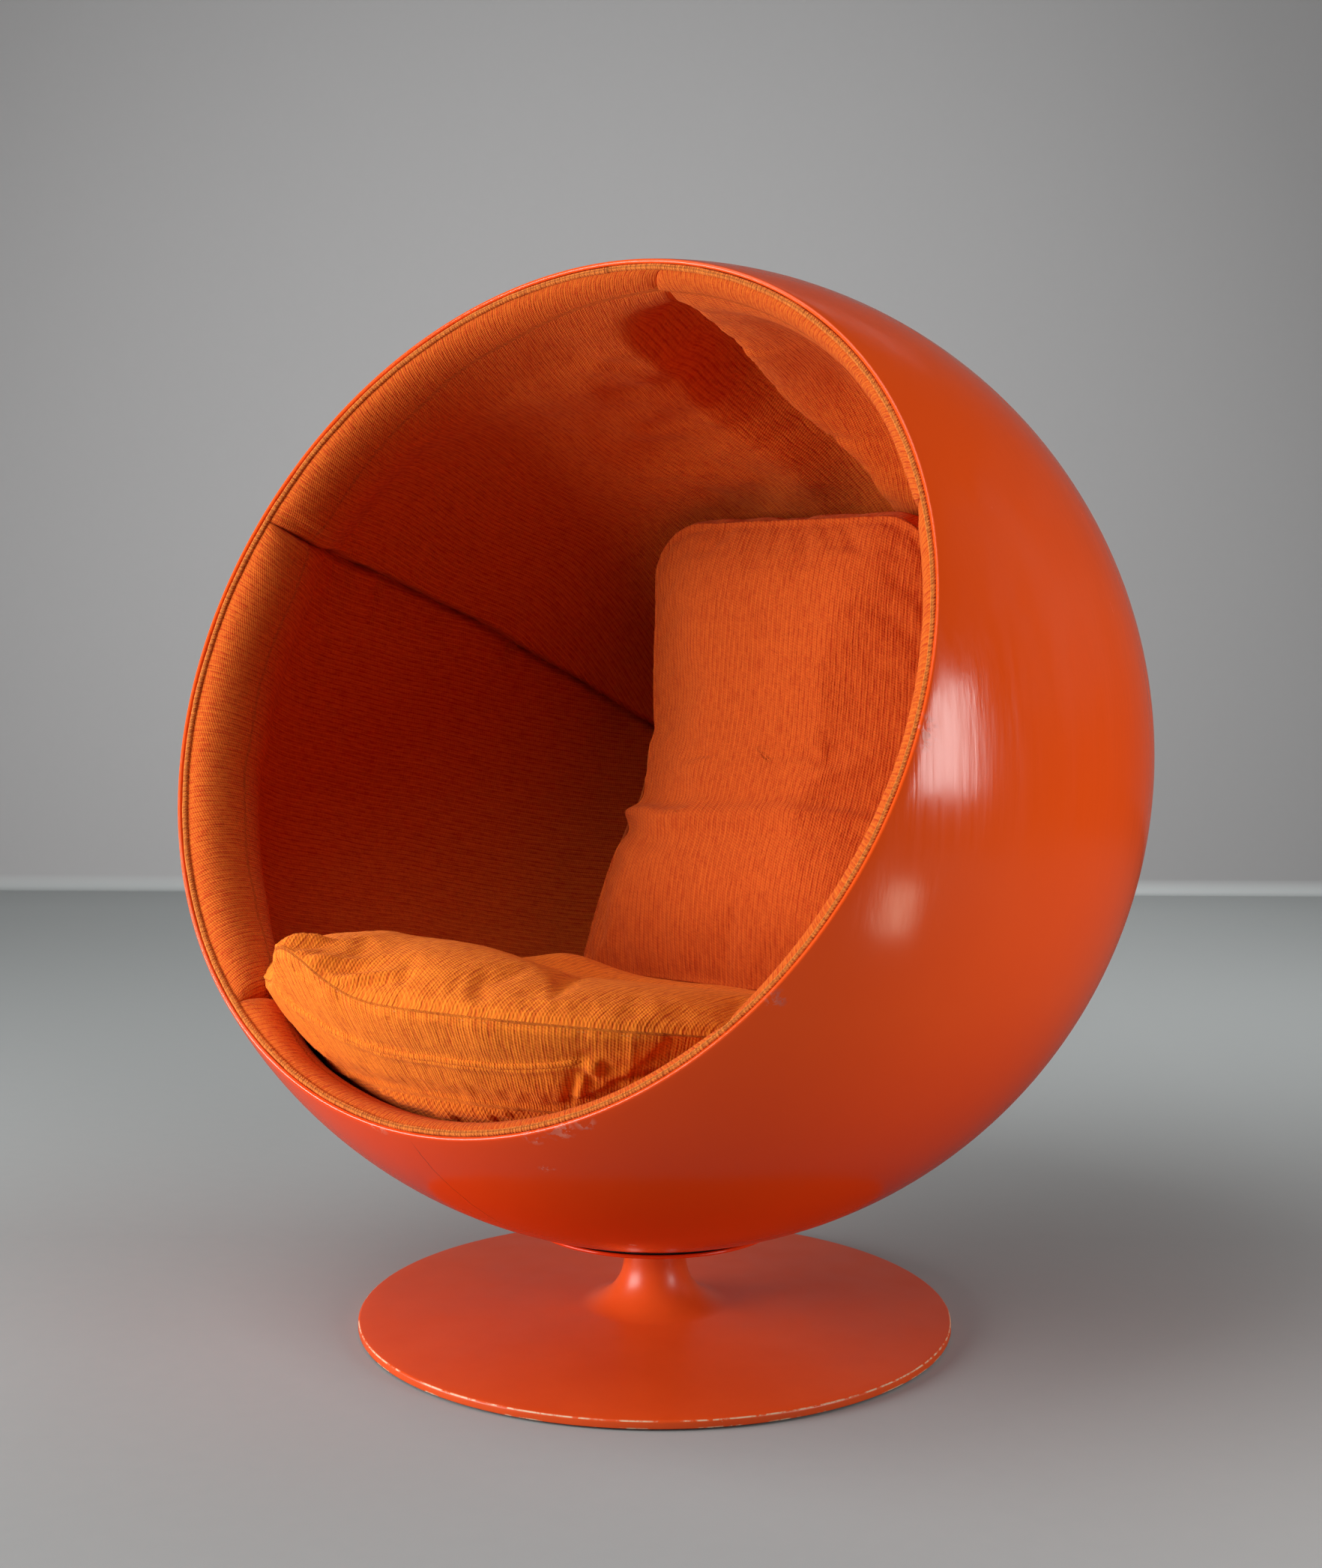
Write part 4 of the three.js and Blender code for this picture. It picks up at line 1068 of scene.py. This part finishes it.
def on_seat_side(lines, lift):
    """Points and normals on the seat's side at (degrees, depth) places."""
    normal = grid_normals(SEAT_GRID)
    side = (SEAT_ABOVE <= 0.0005) & (SEAT_ABOVE > -0.5)
    rows = np.nonzero(side.any(1))[0]
    places, outs = [], []
    for degrees, depth in lines:
        column = np.argmin(np.abs((SEAT_TURN[0] - degrees + 180) % 360 - 180))
        d = SEAT_DEPTH[rows, column]
        places.append(sampled(depth, d, SEAT_GRID[rows, column]))
        outs.append(sampled(depth, d, normal[rows, column]))
    places, outs = np.array(places), np.array(outs)
    kernel = np.ones(5) / 5
    for _ in range(2):
        for column in (*places.T, *outs.T):
            column[2:-2] = np.convolve(np.pad(column, 2, "edge"), kernel, "valid")[2:-2]
    outs /= np.linalg.norm(outs, axis=1, keepdims=True)
    m = np.array(SEAT)[:3, :3]
    return moved(places + outs * lift, SEAT), outs @ m.T


def seat_trimmings():
    """The raised flap over the zip, and the stitches along it and along both seams."""
    noise = Noise(77)
    at = np.linspace(ZIP[0][0], ZIP[-1][0], 260)
    zs = np.interp(at, *np.array(ZIP).T)
    kernel = np.hanning(31)
    zs = np.convolve(np.pad(zs, 15, "edge"), kernel / kernel.sum(), "valid")
    zs = zs + 0.0008 * noise(at / 2.2, 0.5)
    path, out = on_seat_side(np.stack([at, zs], -1), 0.0008)
    ends = np.minimum(1, np.minimum(at - at[0], at[-1] - at) / 1.5 + 0.25)
    height = 0.0022 * ends + 0.0002 * noise(at / 0.8, 3.5)
    # The flap takes the seat's lighter copy of the cloth, painted light.
    tube("seat_zip_flap", path, out, 0.0038 * ends, height, "cloth", material=SEAT_CLOTH_PAINTED_LIGHT)
    path, out = on_seat_side(np.stack([at, zs - 0.0085], -1), 0.0004)
    stitches("seat_zip_stitches", path, out, 0.0044)
    at = np.linspace(-178, 178, 1500)
    path, out = on_seat_side(np.stack([at, UPPER_SEAM - seam_lift(at) + 0.0045], -1), 0.0002)
    stitches("seat_upper_stitches", path, out)
    path, out = on_seat_side(np.stack([at, np.full(at.shape, LOWER_SEAM - 0.0045)], -1), 0.0002)
    stitches("seat_lower_stitches", path, out)


seat_trimmings()

# The foam block under the seat


def foam_block():
    """A bowl of foam with a flat top."""
    rounding = 0.008
    radius = 0.78 * math.sqrt(LIMIT**2 - (BLOCK_TOP + rounding) ** 2)
    reach = math.asin(radius / LIMIT)
    under = arc((0, 0), LIMIT, -TURN / 4, -TURN / 4 + reach, 24)
    edge = arc((radius - rounding, -BLOCK_TOP - rounding), rounding, 0, TURN / 4, 6)
    outline = [(0.0, -LIMIT)] + under[1:] + edge + [(0.0, -BLOCK_TOP)]
    points, faces = revolved(outline, 96, SEAT)
    piece("foam_filling", points, faces, "foam", ["seat_foam_block"])


foam_block()

# The back cushion


class BackCurve:
    """The back cushion's front seam plane, bent along a smooth curve through its profile. The profile's points lie
    behind the ball's centre and above it, as shares of BACK_SCALE."""

    def __init__(self):
        points = np.array(BACK_PROFILE) * BACK_SCALE
        points = np.concatenate([[2 * points[0] - points[1]], points, [2 * points[-1] - points[-2]]])
        fine = []
        for i in range(1, len(points) - 2):
            p0, p1, p2, p3 = points[i - 1 : i + 3]
            for t in np.linspace(0, 1, 40, endpoint=False):
                bend = (2 * p0 - 5 * p1 + 4 * p2 - p3) * t**2 + (3 * p1 - p0 - 3 * p2 + p3) * t**3
                fine.append(0.5 * (2 * p1 + (p2 - p0) * t + bend))
        fine.append(points[-2])
        self.fine = np.array(fine)
        self.at = lengths_along(self.fine)
        self.length = self.at[-1]

    def place(self, across, up, out):
        inside = np.clip(up, 0, self.length)
        step = 0.004
        low, high = np.clip(inside - step, 0, self.length), np.clip(inside + step, 0, self.length)
        y, z = sampled(inside, self.at, self.fine)
        ty, tz = np.subtract(sampled(high, self.at, self.fine), sampled(low, self.at, self.fine))
        size = np.hypot(ty, tz)
        ty, tz = ty / size, tz / size
        beyond = up - inside
        return np.stack([across, y + ty * beyond - tz * out, z + tz * beyond + ty * out], -1)


def rounded_outline(half_width, half_length, top_corner, low_corner, steps):
    """Points round a rectangle with rounded corners, evenly spaced, and how far round each lies."""
    corners = []
    for x, y, start in ((1, 1, 0), (-1, 1, 1), (-1, -1, 2), (1, -1, 3)):
        corner = top_corner if y > 0 else low_corner
        centre = (x * (half_width - corner), y * (half_length - corner))
        corners += arc(centre, corner, start * TURN / 4, (start + 1) * TURN / 4, 16)
    path = np.array([(half_width, 0)] + corners + [(half_width, 0)])
    length = lengths_along(path)
    at = np.arange(steps) * length[-1] / steps
    return np.stack(sampled(at, length, path), -1), at


def lifted_off_seat(points, clearance):
    """Moves points that lie in the seat cushion up to its cover."""
    local = moved(points, SEAT.inverted())
    upper = math.sqrt(LIMIT**2 - UPPER_SEAM**2)
    radius = np.hypot(local[..., 0], local[..., 1])
    cover = seat_height(np.clip(radius / upper, 0, 1), local[..., 0], local[..., 1]) - UPPER_SEAM + clearance
    local[..., 2] = np.maximum(local[..., 2], cover)
    return moved(local, SEAT)


def back_relief(marks, around, half):
    """How far the back cushion's cover stands out along its normals."""
    noise = Noise(41)
    x, y, mark = marks[..., 0], marks[..., 1], marks[..., 2]
    away = np.where(mark >= 0, mark * 0.2, np.where(mark > -1.5, -mark * BACK_BOXING, 1.0))
    round_at = np.broadcast_to(around, away.shape)
    gather = noise(round_at / 0.012, 2.5) + 0.7 * noise(round_at / 0.03, 7.5)
    shape = -0.0020 * bell(away, 0.0022)
    shape += 0.0010 * gather * fade(away, 0.02) * (1 - fade(away, 0.004))
    on_front = mark >= 0
    # The crease where it bends over the seat: deep at the left side, faint across the front
    bend = y + half * 0.36 + 0.30 * (x + 0.12) * (x < -0.12) - 0.02 * smooth(x, -0.12, 0.2)
    depth = 0.0050 + 0.0060 * smooth(-x, 0.00, 0.18)
    shape -= on_front * depth * bell(bend, 0.012)
    shape += on_front * 0.55 * depth * bell(bend + 0.026, 0.016)
    shape += on_front * 0.35 * depth * bell(bend - 0.028, 0.018)
    # A pinch higher up on each side
    for side in (-1, 1):
        off = y - half * (0.02 if side < 0 else 0.12)
        close = bell(side * x - BACK_HALF_WIDTH, 0.05)
        shape -= 0.003 * close * bell(off, 0.014) * (mark > -1)
        shape += 0.002 * close * bell(off - 0.028, 0.016) * (mark > -1)
    shape += on_front * 0.0026 * noise.layered(x / 0.09, y / 0.13, 1.4, 2)
    shape += 0.0012 * noise.layered(round_at / 0.04, away / 0.03, 6.4, 2) * (mark < 0)
    return shape


def back_pad():
    """Rows of loops from the middle of the front to the middle of the back. Each point is marked with where it lies
    across and up from the middle, and with how far it is inside the front seam as a share, which is negative on the
    side and -2 behind."""
    curve = BackCurve()
    half = curve.length / 2
    crown, belly = 0.040, 0.025
    outline, around = rounded_outline(BACK_HALF_WIDTH, half, 0.072, 0.026, 480)
    height = outline[:, 1] / half
    sides = smooth(np.abs(outline[:, 0]), BACK_HALF_WIDTH - 0.07, BACK_HALF_WIDTH)
    outline[:, 0] *= 1 + 0.045 * smooth(-height, 0.25, 0.9)
    outline[:, 0] -= 0.009 * bell(height + 0.10, 0.35) * np.sign(outline[:, 0]) * sides
    front = np.concatenate([np.linspace(0.03, 0.8, 46), 1 - 0.2 * np.linspace(1, 0, 34)[1:] ** 1.5])
    box = np.linspace(0, 1, 32)[1:-1]
    rear = 1 - np.linspace(0, 1, 34) ** 1.3 * 0.96
    rows, weaves, marks = [], [], []

    def row(share, out, weave, inset, mark):
        scale = share * (1 - inset / np.hypot(*outline.T))
        x, y = outline[:, 0] * scale, outline[:, 1] * scale
        rows.append(curve.place(x, half + y, np.broadcast_to(out, x.shape)))
        weaves.append(np.stack(np.broadcast_arrays(*weave(x, y)), -1))
        marks.append(np.stack(np.broadcast_arrays(x, y, mark), -1))

    for share in front:
        inset = SEAM_INSET * smooth(share, 0.9, 1.0)
        row(share, crown * (1 - share**4), lambda x, y: (x + BACK_FRONT_CUT, y), inset, 1 - share)
    for share in box:
        out = -share * BACK_BOXING
        bulge = 0.006 * (1 - (1 - math.sin(math.pi * share)) ** 3)
        row(1.0, out, lambda x, y: (around + BACK_SIDE_CUT, -out), SEAM_INSET - bulge, -share)
    for share in rear:
        inset = SEAM_INSET * smooth(share, 0.9, 1.0)
        row(share, -BACK_BOXING - belly * (1 - share**3), lambda x, y: (x + BACK_REAR_CUT, y), inset, -2.0)
    grid, weave, marks = np.array(rows), np.array(weaves), np.array(marks)
    poles = curve.place(np.zeros(2), np.full(2, half), np.array([crown, -BACK_BOXING - belly]))
    faces = closed_rows(len(rows), len(outline))
    tree = nearest(grid[[len(front) - 1, len(front) + len(box)]].reshape(-1, 3))

    def held(places):
        away = np.array([tree.find(place)[2] for place in places])
        deep = np.linalg.norm(places, axis=1) > LIMIT - 0.004
        return np.maximum(bell(away, 0.006), deep)

    flat = np.concatenate([grid.reshape(-1, 3), poles])
    flat = within(flat + simulated(flat, faces, 0.02, 0.012, held), LIMIT)
    grid, poles = flat[:-2].reshape(grid.shape), flat[-2:]

    grid = within(grid + grid_normals(grid) * back_relief(marks, around, half)[..., None], LIMIT)
    points = np.concatenate([grid.reshape(-1, 3), within(poles, LIMIT)]) + CENTRE
    weave = np.concatenate([weave.reshape(-1, 2), [[BACK_FRONT_CUT, 0], [BACK_REAR_CUT, 0]]])
    return lifted_off_seat(points, 0.0012), faces, weave, grid_normals(grid), len(front)


points, faces, weave, out, seam_row = back_pad()
# The back pad takes the darker copy of the cloth, painted shade.
pad = piece("back_pad", points, faces, "cloth", ["back_cushion"], corner_weave(faces, weave), BACK_CLOTH_PAINTED_SHADE)
columns = out.shape[1]
ring = np.arange(columns + 1) % columns
row_at = seam_row + 1
out = out[row_at, ring]
stitches("back_stitches", points[row_at * columns + ring] + 0.0004 * out, out)

# The stage


def paper(name):
    """Pale paper with painted light: as seen by the camera, the floor's grey gets lighter towards the wall, making
    up for the lamps' falloff, and lighter towards the right, where it fills the chair's shadow. Its red is lowered
    against the orange light thrown from the chair, and the wall is lighter still. Diffuse rays see an even grey.
    Mirrors are given a darker tone, a painted reflection of a room that is dark beside the lamps."""
    s = Shader(name)
    place = s.place()
    sine, cosine = math.sin(CAMERA_TURN), math.cos(CAMERA_TURN)
    # Painted light: the floor's grey rises from 0.33 near the camera to 0.84 towards the wall, making up for the
    # lamps' falloff.
    away = s.rise(s.dot(place, (-sine, cosine, 0.0)), 0.3, 3.6, 0.330, 0.84)
    # Painted light: the floor gets lighter towards the right, where it fills the chair's shadow.
    right = s.rise(s.dot(place, (cosine, sine, 0.0)), -0.6, 1.0, 0.94, 1.28)
    on_wall = s.rise(s.split(place)[2], 0.01, 0.05)
    grain = s.times(s.noise(place, 40.0, 3.0), 0.012, -0.006)
    floor = s.times(away, right)
    # Painted light, seen by the camera only: the floor's red is lowered a little against the orange light the chair
    # throws on it, and the wall is a lighter grey.
    seen = s.mix(on_wall, s.joined(s.times(floor, 0.95), floor, s.times(floor, 0.995)), (0.63, 0.63, 0.63))
    seen = s.mix(1.0, seen, s.joined(grain, grain, grain), "ADD")
    path = s.node("LightPath").outputs
    mirrored = s.math("MAXIMUM", path["Is Glossy Ray"], path["Is Transmission Ray"])
    # Painted reflection: glossy rays see a darker grey, as of a dark room.
    painted_reflection_tone = s.mix(on_wall, (0.16, 0.16, 0.16), (0.32, 0.32, 0.32))
    colour = s.mix(mirrored, (0.32, 0.32, 0.32), painted_reflection_tone)
    s.set(Base_Color=s.mix(path["Is Camera Ray"], colour, seen), Roughness=0.9, Specular_IOR_Level=0.1)
    return s.material


def backdrop():
    """A floor that turns up into a wall behind the chair."""
    half, back, bend, top, front = 9.0, 4.05, 0.05, 7.0, -9.0
    line = [(front, 0.0), (back - bend, 0.0)] + arc((back - bend, bend), bend, -TURN / 4, 0, 24)[1:] + [(back, top)]
    points = [(x, y, z) for y, z in line for x in (-half, half)]
    faces = [(2 * i, 2 * i + 1, 2 * i + 3, 2 * i + 2) for i in range(len(line) - 1)]
    mesh = bpy.data.meshes.new("backdrop")
    turn = Matrix.Rotation(CAMERA_TURN, 4, "Z")
    mesh.from_pydata([tuple(turn @ Vector(p)) for p in points], [], faces)
    mesh.polygons.foreach_set("use_smooth", np.ones(len(mesh.polygons), bool))
    mesh.materials.append(paper("backdrop"))
    linked("backdrop", mesh)


CAMERA_TURN = math.radians(34.69)


def soft_light(name, turn, height, distance, size, power, aim=CENTRE.tolist(), colour=(1, 1, 1)):
    """A rectangular lamp at a turn from the camera's side, aimed at a place."""
    a = CAMERA_TURN + math.radians(turn)
    lamp = bpy.data.lights.new(name, "AREA")
    lamp.shape = "RECTANGLE"
    lamp.size, lamp.size_y = size
    lamp.energy = power
    lamp.color = colour
    made = linked(name, lamp)
    made.location = (math.sin(a) * distance, -math.cos(a) * distance, height)
    made.rotation_mode = "QUATERNION"
    made.rotation_quaternion = (Vector(aim) - made.location).to_track_quat("-Z", "Y")
    return made


def camera():
    """The photo's camera, from the fit: its axes, its place and its focal length in pixels of the photo's height."""
    focal, photo_height, film = 2600.0, 2093.0, 36.0
    lens = bpy.data.cameras.new("camera")
    lens.sensor_width = film
    lens.lens = focal / photo_height * film
    right = (0.82314, 0.56782, 0.00488)
    up = (-0.04164, 0.05179, 0.99779)
    back = (0.56631, -0.82152, 0.06627)
    axes = Matrix((right, up, back)).transposed().to_4x4()
    made = linked("camera", lens)
    made.matrix_world = Matrix.Translation((1.26398, -1.82610, 0.76716)) @ axes
    bpy.context.scene.camera = made


camera()
backdrop()
soft_light("key", -72, 0.93, 2.97, (1.9, 1.3), 130)
soft_light("overhead", -50, 3.1, 1.6, (2.0, 2.0), 47)
soft_light("strip", 57.5, 0.89, 2.65, (0.62, 0.85), 26)
soft_light("wall", 180, 2.9, 1.8, (3.0, 0.6), 8, (-4.0 * math.sin(CAMERA_TURN), 4.0 * math.cos(CAMERA_TURN), 0.0))
# The rear lamp lights the ball's edge and the floor behind, and isn't mirrored in the lacquer
soft_light("rear", 104, 1.9, 3.1, (1.8, 1.8), 26).visible_glossy = False
soft_light("low", 45, 0.05, 1.36, (0.16, 0.30), 1.35, (0.45, -0.28, 0.52), (1.0, 0.82, 0.62))
world = bpy.data.worlds.new("studio")
world.use_nodes = True
sky = world.node_tree.nodes["Background"].inputs
sky["Color"].default_value, sky["Strength"].default_value = (0.55, 0.55, 0.56, 1), 0.03
bpy.context.scene.world = world
bpy.context.scene.view_settings.view_transform = "Standard"
